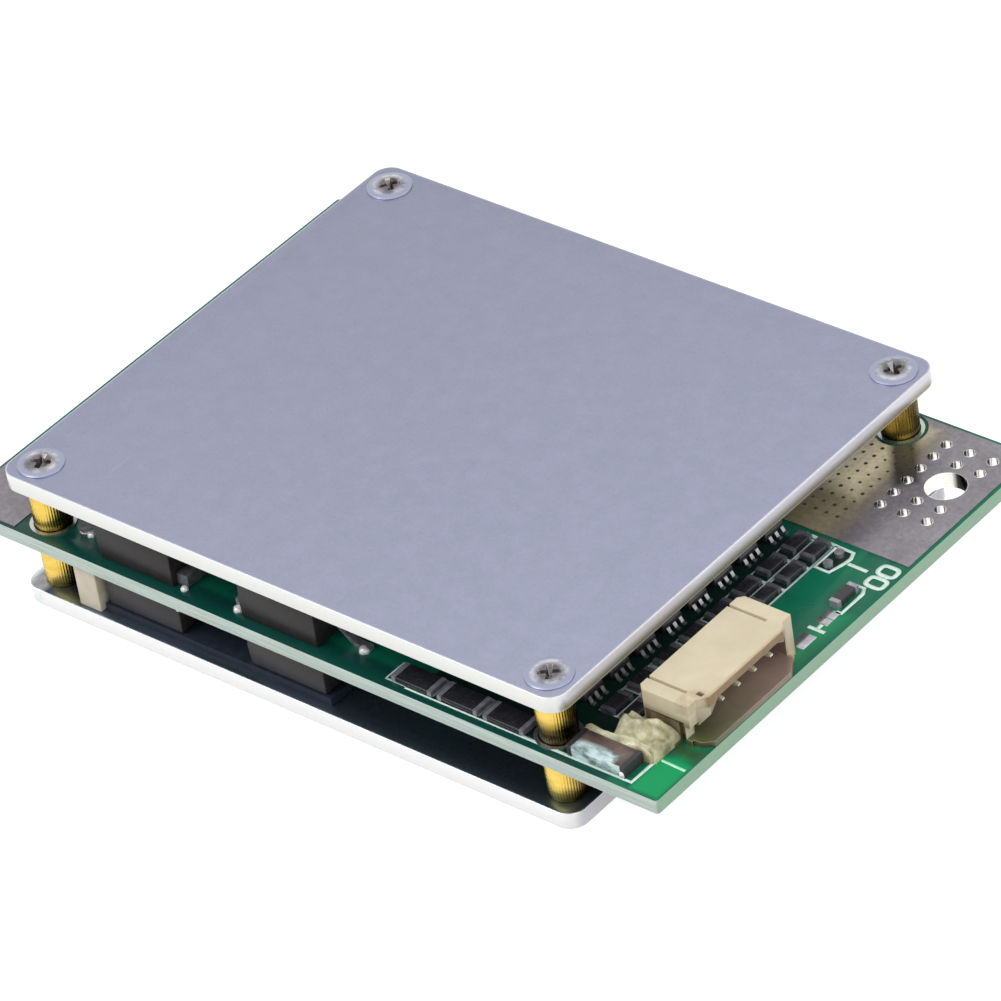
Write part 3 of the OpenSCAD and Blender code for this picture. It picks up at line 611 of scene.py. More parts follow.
def makeHousingMaterial():
    # ivory outside; painted shade inside the mouth, brown turning to olive
    material, tree, shader = startMaterial(
        "ivoryNylon", Subsurface_Weight=0.08, Subsurface_Scale=0.002
    )
    shape, tones, z = housing, ivoryFinish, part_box("connector_housing")[0].z / mm
    near, far, back, front = (shape[key] for key in ("near", "far", "back", "front"))
    cloud, _ = grain(tree, 160.0)
    _, fineHeight = grain(tree, 1800.0)
    stain, _ = grain(tree, 700.0, 0.35, 0.65)
    colour = blendColour(tree, cloud, tones["dark"], tones["light"])
    # painted shade: the lower half of the front end is darkened to a brown
    foot = times(tree, between(tree, "Z", z + 3.4, z + 2.2),
                 facing(tree, (0.0, -1.0, 0.0), 0.5, 0.8))
    colour = tinted(tree, colour, foot, 0.9, tones["frontFootShade"])
    inward = maths(
        tree, "MAXIMUM", between(tree, "Y", near + 0.9, near + 1.3),
        between(tree, "Z", z + 0.85, z + 0.75),
    )
    inside = times(tree, inward, between(tree, "Y", far - 0.9, far - 1.3))
    mouth = times(
        tree, inside, between(tree, "Z", z + 4.05, z + 3.9),
        between(tree, "X", back + 1.0, back + 1.3),
    )
    # the near cheek's slanting front stays ivory
    slant = facing(tree, (0.795, -0.606, 0.0), 0.7, 0.9)
    slant = times(tree, slant, between(tree, "Z", z + 1.2, z + 1.5), 0.85)
    mouth = times(tree, mouth, maths(tree, "SUBTRACT", 1.0, slant))
    # painted shade inside the mouth: olive at the near end, turning brown towards the far
    # end
    along = between(tree, "Y", -21.5, -11.0)
    deep, pale = (
        blendColour(tree, along, olive, brown)
        for olive, brown in zip(tones["olive"], tones["brown"])
    )
    colour = tinted(tree, colour, mouth, 0.96, blendColour(tree, cloud, deep, pale))
    # an orange brown line along the roof's rim over the pins
    rim = times(tree, between(tree, "X", front - 0.32, front - 0.06), inside)
    line = times(tree, between(tree, "Z", z + 4.95, z + 4.7),
                 between(tree, "Z", z + 3.5, z + 3.8))
    colour = tinted(tree, colour, times(tree, rim, line), 0.92, tones["line"])
    high = between(tree, "Z", z + 3.6, z + 3.8)
    colour = tinted(tree, colour, times(tree, rim, high, stain), 0.45, tones["rim"])
    # painted shade round the small square hole in the roof
    dotHoleShade = softArea(tree, (43.65, -20.2), (0.42, 0.32), 0.12)
    colour = tinted(tree, colour, times(tree, dotHoleShade, high), 0.9, tones["dotHoleShade"])
    # brown shadows on the near cheek
    nose = softArea(tree, (front - 1.0, near + 1.4), (1.6, 1.8), 0.5)
    colour = tinted(tree, colour, times(tree, nose, high, stain), 0.45, tones["nose"])
    colour = wearAndHighlight(tree, colour, tones["edge"], 0.35, 0.00016, 0.03, 0.3)
    rough = uneven(tree, fineHeight, 0.30, 0.42)
    dress(tree, shader, colour, rough, fineHeight, 0.05, 0.00001)
    return material


standoffShape = {
    "box": 2.0, "radius": 1.99, "groove": 0.05, "teeth": 44, "land": 0.45, "taper": 0.12,
    "chamfer": 0.06,
}
postPlace = [part / mm - standoffShape["box"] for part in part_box("upper_standoffs")[1]]


def makeBrassMaterial():
    # turned brass, with painted shade on the side away from the open front
    material, tree, shader = startMaterial("turnedBrass", Metallic=1.0)
    mask, height = grain(tree, 600.0, stretch=(1.0, 1.0, 4.0))
    colour = blendColour(tree, mask, (0.66, 0.44, 0.07), (0.84, 0.62, 0.16))
    # painted shade: the side turned away from the open front is darkened
    away = facing(tree, (0.70, 0.71, 0.0), -0.12, 0.55)
    colour = tinted(tree, colour, away, 0.93, (0.050, 0.028, 0.004))
    # painted shade where a standoff meets the plate or the board
    top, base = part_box("circuit_board")[1].z / mm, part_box("lower_plate")[1].z / mm
    aboveBoard = between(tree, "Z", top - 0.2, top)
    foot = maths(
        tree, "MAXIMUM", times(tree, between(tree, "Z", top + 1.5, top + 0.3), aboveBoard),
        between(tree, "Z", base + 1.6, base + 0.4),
    )
    colour = tinted(tree, colour, foot, 0.8, (0.075, 0.045, 0.010))
    # the near upper one stands in the shade of the parts round it
    crowded = softArea(tree, (postPlace[0], -postPlace[1]), (2.6, 2.6), 0.3)
    shade = times(tree, crowded, between(tree, "Z", top + 3.2, top + 1.8), aboveBoard)
    colour = tinted(tree, colour, shade, 0.88, (0.020, 0.016, 0.012))
    rough = uneven(tree, height, 0.22, 0.34)
    dress(tree, shader, colour, rough, height, 0.15, 0.00001)
    return material


screwShape = {
    "box": 2.35, "radius": 2.47, "rise": 0.36, "rim": 0.015, "cone": 1.1, "shank": 1.18,
    "length": 3.8, "arm": 0.34, "reach": 1.28, "bottom": 0.45, "depth": 0.95, "steps": 9,
    "sides": 56, "fullness": 0.8,
}


def makeScrewMaterial():
    # plated steel, pale round the rim with a lighter edge from wear and painted highlight,
    # dark and patchy in the middle round the recess
    material, tree, shader = startMaterial("nickelPlate", Metallic=0.95)
    low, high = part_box("upper_screws")
    squares = []
    for i, axis in enumerate("XY"):
        middle = (low[i] + high[i]) / 2
        reach = high[i] - screwShape["box"] * mm - middle
        away = maths(tree, "SUBTRACT", placeAlong(tree, axis), middle)
        away = maths(tree, "ABSOLUTE", away)
        away = maths(tree, "ABSOLUTE", maths(tree, "SUBTRACT", away, reach))
        squares.append(maths(tree, "POWER", away, 2.0))
    radius = maths(tree, "SQRT", maths(tree, "ADD", *squares))
    blotch, blotchHeight = grain(tree, 520.0, 0.38, 0.62)
    fine, _ = grain(tree, 2200.0)
    pale = blendColour(tree, blotch, (0.22, 0.23, 0.28), (0.80, 0.80, 0.86))
    dark = blendColour(tree, fine, (0.045, 0.030, 0.026), (0.16, 0.135, 0.125))
    darkMiddle = mapRange(tree, radius, 1.75 * mm, 0.95 * mm)
    patchy = maths(tree, "ADD", 0.6, times(tree, blotch, 0.4))
    colour = tinted(tree, pale, darkMiddle, patchy, dark)
    # its edge has taken the plate's tone
    skirt = mapRange(tree, radius, 1.6 * mm, 2.0 * mm)
    colour = blendColour(tree, skirt, colour, plateFinish["light"])
    colour = wearAndHighlight(tree, colour, (0.92, 0.92, 0.92), 0.35, 0.00010, 0.05, 0.35)
    rough = mapRange(tree, skirt, 0.0, 1.0, 0.2, 0.31)
    dress(tree, shader, colour, rough, blotchHeight, 0.35, 0.00006)
    return material


def makeSenseMaterial():
    # dark brown top, pale solder smears over the front face
    material, tree, shader = startMaterial("brownCoat")
    cloud, _ = grain(tree, 500.0)
    smear, smearHeight = grain(tree, 800.0, 0.38, 0.58, (0.7, 1.0, 1.2))
    colour = blendColour(tree, cloud, (0.040, 0.026, 0.024), (0.17, 0.115, 0.095))
    low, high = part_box("sense_resistor")
    middle = ((low.x + high.x) / 2 / mm - 0.8, low.y / mm + 0.6)
    front = maths(
        tree, "MAXIMUM", facing(tree, (0.0, -1.0, 0.1), 0.35, 0.7),
        times(tree, softArea(tree, middle, (3.2, 1.1), 0.7), 0.85),
    )
    pale = blendColour(tree, smear, (0.10, 0.16, 0.17), (0.62, 0.80, 0.80))
    colour = blendColour(tree, front, colour, pale)
    rough = uneven(tree, smearHeight, 0.28, 0.48)
    dress(tree, shader, colour, rough, smearHeight, 0.35, 0.00004)
    return material


materials = {
    "plate": makePlateMaterial(),
    "board": makeBoardMaterial(),
    "tin": makeTinMaterial(),
    "holeWall": makeHoleMaterial("solderHoleWall", (0.997, 0.07, 0.0), (0.96, 0.95, 0.92)),
    "boltWall": makeHoleMaterial("boltHoleWall", (-0.17, -0.985, 0.0), (0.86, 0.83, 0.72)),
    "ivory": makeHousingMaterial(),
    "brass": makeBrassMaterial(),
    "screw": makeScrewMaterial(),
    "sense": makeSenseMaterial(),
}
# the plainer ones: name, two tones, grain scale, roughness, then what else differs
for finish, name, dark, light, scale, roughness, more in (
    ("ring", "brightTinRing", (0.50, 0.50, 0.48), (0.66, 0.66, 0.62), 1200.0, 0.25,
     {"metallic": 0.9}),
    ("mould", "mouldedEpoxy", (0.016, 0.013, 0.014), (0.030, 0.026, 0.027), 1600.0, 0.46,
     {"edge": (0.07, 0.065, 0.07), "bump": 0.25, "Specular_IOR_Level": 0.3}),
    ("chip", "chipEpoxy", (0.018, 0.018, 0.020), (0.035, 0.034, 0.038), 1800.0, 0.36,
     {"edge": (0.09, 0.09, 0.10), "edgeRadius": 0.00008}),
    ("resistor", "glazedBlock", (0.016, 0.016, 0.020), (0.032, 0.032, 0.038), 1300.0, 0.24,
     {"edge": (0.09, 0.09, 0.11), "bump": 0.12, "edgeRadius": 0.00008}),
    ("lead", "tinnedLead", (0.55, 0.55, 0.56), (0.74, 0.74, 0.74), 1500.0, 0.26,
     {"metallic": 0.95, "edge": (0.90, 0.90, 0.90), "edgeRadius": 0.00006}),
    ("solder", "solderJoint", (0.10, 0.10, 0.10), (0.34, 0.33, 0.34), 1100.0, 0.30,
     {"metallic": 0.6}),
    ("sheet", "siliconeSheet", (0.010, 0.014, 0.026), (0.022, 0.028, 0.045), 900.0, 0.62,
     {"bump": 0.3, "Specular_IOR_Level": 0.25}),
    ("pin", "connectorPin", (0.82, 0.76, 0.58), (0.95, 0.90, 0.74), 1400.0, 0.25,
     {"metallic": 0.4, "edge": (0.95, 0.92, 0.80), "edgeRadius": 0.00005}),
    ("nylon", "creamNylon", (0.62, 0.55, 0.42), (0.74, 0.67, 0.53), 500.0, 0.42,
     {"edge": (0.85, 0.80, 0.68), "bump": 0.1, "Subsurface_Weight": 0.1,
      "Subsurface_Scale": 0.001}),
    ("legend", "legendInk", (0.50, 0.66, 0.58), (0.72, 0.86, 0.78), 1400.0, 0.5,
     {"bump": 0.3}),
    ("dullLead", "dullLead", (0.16, 0.16, 0.18), (0.42, 0.42, 0.44), 1500.0, 0.34,
     {"metallic": 0.6, "edge": (0.5, 0.5, 0.52), "edgeAmount": 0.4,
      "edgeRadius": 0.00005}),
    ("dullCap", "dullCap", (0.10, 0.10, 0.12), (0.22, 0.22, 0.25), 1400.0, 0.36,
     {"metallic": 0.5, "edge": (0.4, 0.4, 0.44), "edgeAmount": 0.4,
      "edgeRadius": 0.00005, "bump": 0.25}),
    ("greyCap", "greyCap", (0.26, 0.26, 0.29), (0.42, 0.42, 0.46), 1400.0, 0.36,
     {"metallic": 0.5, "edge": (0.6, 0.6, 0.62), "edgeAmount": 0.4,
      "edgeRadius": 0.00005, "bump": 0.25}),
    ("anchor", "stainedAnchor", (0.16, 0.13, 0.07), (0.32, 0.27, 0.16), 900.0, 0.45,
     {"metallic": 0.5, "edge": (0.5, 0.45, 0.3), "edgeAmount": 0.4, "bump": 0.3}),
    ("whiteSolder", "whiteSolder", (0.72, 0.72, 0.70), (0.92, 0.92, 0.90), 900.0, 0.25,
     {"metallic": 0.25, "bump": 0.15}),
    ("brightGreenStrip", "brightInk", (0.30, 0.72, 0.46), (0.60, 0.92, 0.74), 1400.0, 0.45,
     {"bump": 0.3}),
    ("dullLegend", "outlineInk", (0.34, 0.42, 0.41), (0.52, 0.60, 0.58), 1400.0, 0.5,
     {"bump": 0.3}),
    ("via", "viaMouth", (0.030, 0.024, 0.018), (0.070, 0.055, 0.035), 2000.0, 0.5,
     {"bump": 0.3}),
    ("pad", "barePad", (0.34, 0.34, 0.36), (0.52, 0.52, 0.54), 1100.0, 0.3,
     {"metallic": 0.8, "bump": 0.3}),
    ("glue", "cloudyAdhesive", (0.22, 0.19, 0.06), (0.92, 0.88, 0.64), 420.0, 0.22,
     {"Transmission_Weight": 0.12, "IOR": 1.48, "Subsurface_Weight": 0.2,
      "Subsurface_Scale": 0.001}),
):
    materials[finish] = grainedMaterial(name, dark, light, scale, roughness, **more)

# every node's own finish; the transistors' bodies are all moulded
nodeFinish = {
    "plate": ["upper_plate", "lower_plate"], "board": ["circuit_board"],
    "tin": ["terminal_tinning", "far_terminal_tinning"], "ring": ["standoff_rings"],
    "dullLead": [
        "upper_mosfet_tabs", "lower_mosfet_tabs", "upper_mosfet_leads",
        "lower_mosfet_leads", "balance_chip_leads", "sensor_pins",
    ],
    "sheet": ["upper_heat_sheet", "lower_heat_sheet"], "pin": ["connector_pins"],
    "anchor": ["connector_anchors"], "ivory": ["connector_housing"],
    "chip": ["balance_chips", "sense_resistor_caps", "zener_diode", "controller_chip"],
    "resistor": ["filter_resistors", "bleed_resistors", "shunt_resistors"],
    "dullCap": ["filter_resistor_caps", "bleed_resistor_caps"],
    "greyCap": ["shunt_resistor_caps", "zener_diode_caps"], "sense": ["sense_resistor"],
    "lead": ["controller_chip_leads"], "nylon": ["nylon_spacer"],
    "screw": ["upper_screws", "lower_screws"],
    "brass": ["upper_standoffs", "lower_standoffs"], "glue": ["adhesive_bead"],
}
finishOf = {node: finish for finish, nodes in nodeFinish.items() for node in nodes}
for nodeName, node in cad.items():
    node.data.materials.clear()
    node.data.materials.append(materials[finishOf.get(nodeName, "mould")])
print("materials made")

# plates, board and bodies with softened edges

# the new piece, the width of its softened edge in millimetres, its slot
rounded = {
    "upper_plate": ("upperPlateMilled", 0.26, "heat_plate"),
    "lower_plate": ("lowerPlateMilled", 0.10, "heat_plate"),
    "circuit_board": ("boardRouted", 0.06, "board_green"),
    "sense_resistor": ("cornerResistorCoat", 0.12, "sense_brown"),
    "nylon_spacer": ("spacerBlock", 0.12, "nylon_cream"),
    "balance_chips": ("balanceChipBodies", 0.05, "chip_black"),
    "filter_resistors": ("filterResistorBodies", 0.06, "resistor_black"),
    "bleed_resistors": ("bleedResistorBodies", 0.06, "resistor_black"),
    "shunt_resistors": ("shuntResistorBodies", 0.06, "resistor_black"),
}
rowLength = 10
for level in ("upper", "lower"):
    for i in range(1, rowLength + 1):
        rounded[f"{level}_mosfet_{i}"] = (f"{level}Transistor{i}", 0.12, "moulded_black")


def roundedCopy(node, name, width):
    # the CAD node again with its edges rounded over
    work = bmesh.new()
    work.from_mesh(cad[node].data)
    bmesh.ops.remove_doubles(work, verts=work.verts, dist=2e-6)
    bmesh.ops.dissolve_limit(
        work, angle_limit=math.radians(1), verts=work.verts, edges=work.edges
    )
    mesh = bpy.data.meshes.new(name)
    work.to_mesh(mesh)
    work.free()
    piece = objectFrom(name, mesh)
    addBevel(piece, width, 2, 35)
    applyModifiers(piece)
    smoothSides(piece.data, 50)
    return piece


for nodeName, (pieceName, width, slotName) in rounded.items():
    piece = roundedCopy(nodeName, pieceName, width * mm)
    finishPiece(piece, finishOf.get(nodeName, "mould"), [nodeName])
print("plates, board and bodies rounded")

# screws

def latheInto(work, profile, sides):
    # an outline of (radius, height) in millimetres, turned about the upright axis
    ring = [work.verts.new((r * mm, 0.0, z * mm)) for r, z in profile]
    edges = [work.edges.new((ring[i], ring[i + 1])) for i in range(len(ring) - 1)]
    bmesh.ops.spin(
        work, geom=ring + edges, cent=(0, 0, 0), axis=(0, 0, 1),
        angle=math.tau, steps=sides, use_merge=True,
    )
    bmesh.ops.remove_doubles(work, verts=work.verts, dist=1e-7)
    bmesh.ops.recalc_face_normals(work, faces=work.faces)


def makeScrew(name, flip):
    shape = screwShape
    radius, rise, rim = shape["radius"], shape["rise"], shape["rim"]

    def body(work):
        dome = []
        for i in range(shape["steps"] + 1):
            a = math.pi / 2 * (1 - i / shape["steps"])
            full = math.sin(a) ** shape["fullness"]
            dome.append((radius * math.cos(a), rim + (rise - rim) * full))
        latheInto(work, dome + [
            (radius * 0.99, 0.0), (shape["shank"], -shape["cone"]),
            (shape["shank"], -shape["length"]), (0.0, -shape["length"]),
        ], shape["sides"])

    def cross(work):
        # one tapered plus with twelve corners
        long, wide = shape["reach"], shape["arm"]
        arm = [(long, -wide), (long, wide), (wide, wide)]
        plan = list(arm)
        for _ in range(3):
            arm = [(-y, x) for x, y in arm]
            plan += arm
        joinRings(work, [
            [work.verts.new((x * k * mm, y * k * mm, z * mm)) for x, y in plan]
            for z, k in ((rise - shape["depth"], shape["bottom"]), (rise + 0.2, 1.0))
        ])
        bmesh.ops.triangulate(work, faces=[f for f in work.faces if len(f.verts) > 4])
        bmesh.ops.recalc_face_normals(work, faces=work.faces)

    head, cutter = built(name, body), built(name + "Cross", cross)
    addCut(head, cutter).use_self = True
    addBevel(head, 0.03 * mm, 2, 40)
    applyModifiers(head)
    bpy.data.objects.remove(cutter)
    if flip:
        head.data.transform(Matrix.Rotation(math.pi, 4, "X"))
    return head


upperPlate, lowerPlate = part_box("upper_plate"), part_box("lower_plate")
for level, place, seed in (("upper", upperPlate[1].z, 4), ("lower", lowerPlate[0].z, 7)):
    copiesAt(
        level + "CrossScrews",
        cornerPlaces(level + "_screws", screwShape["box"] * mm, place),
        makeScrew(level + "Screw", level == "lower"), "screw",
        [level + "_screws"], turn=0.9, seed=seed, smooth=32,
    )
print("screws made")

# connector

def prism(work, outline, low, high, axis="z"):
    # a closed outline pushed from low to high along an axis, in millimetres
    place = {
        "z": lambda a, b, c: (a, b, c), "x": lambda a, b, c: (c, a, b),
        "y": lambda a, b, c: (a, c, b),
    }[axis]
    joinRings(work, [
        [work.verts.new(Vector(place(a, b, level)) * mm) for a, b in outline]
        for level in (low, high)
    ])


def cornered(x0, x1, y0, y1):
    return [(x0, y0), (x1, y0), (x1, y1), (x0, y1)]


def solidFrom(name, build):
    def whole(work):
        build(work)
        bmesh.ops.recalc_face_normals(work, faces=work.faces)

    return built(name, whole)


def pinPlaces():
    middle = (housing["pins"] - 1) / 2
    return [
        housing["pinMiddle"] + (i - middle) * housing["pinPitch"]
        for i in range(housing["pins"])
    ]


def makeHousing():
    shape = housing
    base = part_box("connector_housing")[0].z / mm
    back, near, far, bevel = (shape[key] for key in ("back", "near", "far", "bevel"))
    front, cheek, wall, lip = (shape[key] for key in ("front", "cheekDepth", "wall", "lip"))
    roofTop, floorTop = base + shape["tall"], base + shape["floor"]
    roofUnder = roofTop - shape["roof"]

    def shell(work):
        prism(work, [
            (back, near + bevel), (back + bevel, near), (cheek, near), (cheek, near + wall),
            (front, near + 2.3), (front, far - 2.3), (cheek, far - wall), (cheek, far),
            (back + bevel, far), (back, far - bevel),
        ], base, roofTop)

    def floor(work):
        prism(work, [
            (back + 1.0, near + 0.3), (front, near + 0.3), (lip, near + 1.2),
            (lip, far - 3.0), (front - 0.7, far - 0.3), (back + 1.0, far - 0.3),
        ], base + 0.002, floorTop)

    def cavity(work):
        prism(work, [
            (near + wall, floorTop), (far - wall, floorTop), (far - wall, roofUnder - 1.0),
            (far - wall - 2.1, roofUnder), (near + wall + 2.4, roofUnder),
            (near + wall, roofUnder - 2.2),
        ], back + shape["backWall"], shape["past"], "x")

    def slits(work):
        for y in shape["slits"]:
            half = shape["slitWidth"] / 2
            prism(work, cornered(back - 1.0, shape["slitEnd"], y - half, y + half),
                  roofUnder - 0.1, roofTop + 0.5)
        # a small square hole near the front corner
        prism(work, cornered(*shape["dot"]), roofTop - 0.5, roofTop + 0.5)

    def notches(work):
        deep, high = shape["notchDeep"], base + shape["notchTall"]
        for y0, y1 in ((near - 1.0, near + deep), (far - deep, far + 1.0)):
            prism(work, cornered(*shape["notch"], y0, y1), base - 1.0, high)
        # the near cheek stops short of the board at its front
        gapX, gapTop = shape["gap"]
        prism(work, cornered(gapX, shape["past"], near - 1.0, near + wall + 0.01),
              floorTop, base + gapTop)

    def pinHoles(work):
        level, half = base + shape["pinLevel"], shape["pinHole"]
        for y in pinPlaces():
            prism(work, cornered(y - half, y + half, level - half, level + half),
                  back - 1.0, back + shape["backWall"] + 0.5, "x")

    piece = solidFrom("connectorMoulded", shell)
    for operation, build in (
        ("UNION", floor), ("DIFFERENCE", cavity), ("DIFFERENCE", slits),
        ("DIFFERENCE", notches), ("DIFFERENCE", pinHoles),
    ):
        tool = solidFrom("tool", build)
        addCut(piece, tool, operation)
        applyModifiers(piece)
        bpy.data.objects.remove(tool)
    addBevel(piece, 0.13 * mm, 3, 25)
    applyModifiers(piece)
    smoothSides(piece.data, 50)
    finishPiece(piece, "ivory", ["connector_housing"])


def makePin(name):
    # a square pin with a tapered tip, bent down behind the housing to its foot
    half, level, tip = 0.2, housing["pinLevel"], housing["pinTip"]
    tail = housing["back"] - 0.15
    return solidFrom(name, lambda work: prism(work, [
        (tip, level + half * 0.5), (tip - 0.35, level + half), (tail - 0.25, level + half),
        (tail - 0.45, level + half - 0.2), (tail - 0.45, 0.4), (tail - 0.8, 0.35),
        (tail - 0.8, 0.01), (tail, 0.01), (tail, level - half), (tip - 0.35, level - half),
        (tip, level - half * 0.5),
    ], -half, half, "y"))


def makeAnchor(name):
    # a strip in the housing's end notch with its foot on the board
    return solidFrom(name, lambda work: prism(work, [
        (0.0, 0.01), (0.0, 2.3), (-0.3, 2.3), (-0.3, 0.35), (-1.3, 0.3), (-1.3, 0.01),
    ], -1.7, 1.7, "x"))


makeHousing()
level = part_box("connector_housing")[0].z
copiesAt(
    "connectorPinRow", [(0.0, y * mm, level) for y in pinPlaces()], makePin("connectorPin"),
    "pin", ["connector_pins"],
)
inset = housing["notchDeep"] - 0.05
for end, inward in (("near", inset), ("far", -inset)):
    anchor = makeAnchor(end + "Anchor")
    if end == "far":
        anchor.data.transform(Matrix.Rotation(math.pi, 4, "Z"))
    copiesAt(
        end + "ConnectorAnchor",
        [(housing["anchor"] * mm, (housing[end] + inward) * mm, level)], anchor,
        "anchor", ["connector_anchors"],
    )
print("connector moulded")

# standoffs

def makeStandoff(name, tall):
    shape = standoffShape
    bare = shape["radius"] - shape["groove"]
    tooth = [shape["radius"] - shape["groove"] * deep for deep in (0.0, 0.1, 1.0, 0.9)]
    plain, knurled = [bare] * 4 * shape["teeth"], tooth * shape["teeth"]

    def build(work):
        land, taper, edge = shape["land"] * mm, shape["taper"] * mm, shape["chamfer"]
        joinRings(work, [
            circle(work, [(r - inset) * mm for r in radii], z) for z, radii, inset in (
                (0.0, plain, edge), (edge * mm, plain, 0.0), (land, plain, 0.0),
                (land + taper, knurled, 0.0), (tall - land - taper, knurled, 0.0),
                (tall - land, plain, 0.0), (tall - edge * mm, plain, 0.0),
                (tall, plain, edge),
            )
        ])

    return built(name, build)


board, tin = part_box("circuit_board"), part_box("terminal_tinning")
gap = board[0].z - lowerPlate[1].z
for level, above in (("upper", board[1].z), ("lower", lowerPlate[1].z)):
    copiesAt(
        level + "KnurledStandoffs",
        cornerPlaces(level + "_standoffs", standoffShape["box"] * mm, above),
        makeStandoff(level + "Standoff", gap), "brass",
        [level + "_standoffs"], turn=0.3, seed=6, smooth=25,
    )
print("standoffs turned")

# holes, vias and solder

top, tinTop = board[1].z, tin[1].z
boltPlace = Vector((board[1].x - 4.8 * mm, board[1].y - 8.5 * mm, 0.0))
holes = {
    "offset": 3.95, "column": 2.85, "pitch": 2.2, "radius": 0.625, "lip": 0.03,
    "boltRadius": 2.17, "boltLip": 0.04,
}
solderHoles = [
    (boltPlace.x + (column * holes["column"] - holes["offset"]) * mm,
     boltPlace.y + (2.5 - row) * holes["pitch"] * mm, 0.0)
    for column in range(3) for row in range(6) if column == 0 or row not in (2, 3)
]


def makeTube(name, radius, lip, sides):
    # the plated wall of a hole, with a thin lip lying on the tin at each end
    low, high, sunk = board[0].z - 0.1 * mm, tinTop, 0.01 * mm

    def build(work):
        joinRings(work, [
            circle(work, [r * mm] * sides, z) for r, z in (
                (radius + lip, high), (radius, high + sunk), (radius, low - sunk),
                (radius + lip, low),
            )
        ], capped=False)

    return built(name, build)


copiesAt(
    "solderHoleWalls", solderHoles, makeTube("holeWall", holes["radius"], holes["lip"], 20),
    "holeWall",
)
copiesAt(
    "boltHoleWalls", [boltPlace, -boltPlace],
    makeTube("boltWall", holes["boltRadius"], holes["boltLip"], 48),
    "boltWall",
)


def makeDisc(name, radius, thick, sides):
    return built(name, lambda work: bmesh.ops.create_cone(
        work, cap_ends=True, segments=sides, radius1=radius, radius2=radius * 0.8,
        depth=thick,
    ))


viaGrid = {
    "x": 29.05, "y": 26.5, "pitchX": 1.35, "pitchY": 1.38, "columns": 5, "rows": 11,
    "fromHoles": 1.1, "fromPost": 3.2,
}
viaPlaces = []
for i in range(viaGrid["columns"]):
    for j in range(viaGrid["rows"]):
        x = viaGrid["x"] + i * viaGrid["pitchX"]
        y = viaGrid["y"] - j * viaGrid["pitchY"]
        clear = min(math.hypot(x - hole[0] / mm, y - hole[1] / mm) for hole in solderHoles)
        fromPost = math.hypot(x - postPlace[0], y - postPlace[1])
        if clear > viaGrid["fromHoles"] and fromPost > viaGrid["fromPost"]:
            viaPlaces.append((x * mm, y * mm, tinTop + 0.012 * mm))
copiesAt(
    "terminalVias", viaPlaces, makeDisc("viaDisc", 0.21 * mm, 0.03 * mm, 10), "via",
    sizes=(0.8, 1.15), turn=0.5, seed=3, smooth=0,
)


def makeBlob(name, wide, tall, bumpy, phase):
    # a lump of solder: a squashed ball, uneven where asked
    def build(work):
        bmesh.ops.create_icosphere(work, subdivisions=3, radius=1.0)
        for vert in work.verts:
            x, y, z = vert.co
            swell = 1 + bumpy * math.sin(5 * x + phase) * math.cos(4 * y - phase)
            vert.co = Vector((x * wide, y * wide, z * tall)) * swell * mm

    return built(name, build)


# the transistors past the turning point have their leads towards the far end
legs = {"turning": -12.0, "out": 9.1, "apart": 2.54}


def legPlaces():
    # the soldered foot of every transistor lead on the board's upper face
    places = []
    for i in range(1, rowLength + 1):
        low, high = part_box(f"upper_mosfet_{i}")
        middle = (low + high) / 2
        outward = -1 if middle.x < legs["turning"] * mm else 1
        places += [
            (middle.x + outward * legs["out"] * mm, middle.y + side * legs["apart"] * mm,
             top + 0.02 * mm) for side in (-1, 1)
        ]
    return places


def inMetres(places, level):
    return [(x * mm, y * mm, level) for x, y in places]


copiesAt(
    "leadFillets", legPlaces(), makeBlob("fillet", 0.72, 0.34, 0.15, 1.0), "solder",
    sizes=(0.8, 1.2), turn=3.1, seed=5, smooth=180,
)
looseSolder = [(-29.4, -27.0), (-15.2, -28.9), (6.9, -27.2), (-8.3, -28.6)]
copiesAt(
    "looseSolder", inMetres(looseSolder, top + 0.03 * mm),
    makeBlob("lump", 0.52, 0.5, 0.08, 2.3), "whiteSolder",
    sizes=(0.8, 1.15), turn=3.1, seed=9, smooth=180,
)
copiesAt(
    "cornerSolder", inMetres([(40.75, -29.2)], top + 0.35 * mm),
    makeBlob("dot", 0.34, 0.45, 0.1, 1.1), "whiteSolder", smooth=180,
)
copiesAt(
    "solderTips", inMetres([(-15.5, -29.9), (-9.7, -29.8)], board[0].z - 0.1 * mm),
    makeBlob("tip", 0.32, 0.5, 0.1, 0.4), "whiteSolder", seed=2, smooth=180,
)
print("holes, vias and solder made")

# printed legend

legend = {"width": 0.44, "height": 0.03, "thin": 0.3, "above": 0.016}


def stripsAlong(name, lines, width=legend["width"], finish="legend"):
    # flat lines in millimetres, each a list of (x, y); a closed one repeats its first
    corners, edges = [], []
    for line in lines:
        first = len(corners)
        closed = line[0] == line[-1]
        steps = line[:-1] if closed else line
        corners += inMetres(steps, top + legend["above"] * mm)
        edges += [(first + i, first + i + 1) for i in range(len(steps) - 1)]
        if closed:
            edges.append((first + len(steps) - 1, first))
    mesh = bpy.data.meshes.new(name + "Lines")
    mesh.from_pydata(corners, edges, [])
    piece = runTree(name, mesh, sweepTree, {
        "Width": width * mm, "Height": legend["height"] * mm, "Finish": materials[finish],
    })
    finishPiece(piece, None)


def boxed(x0, x1, y0, y1):
    outline = cornered(x0, x1, y0, y1)
    return outline + outline[:1]


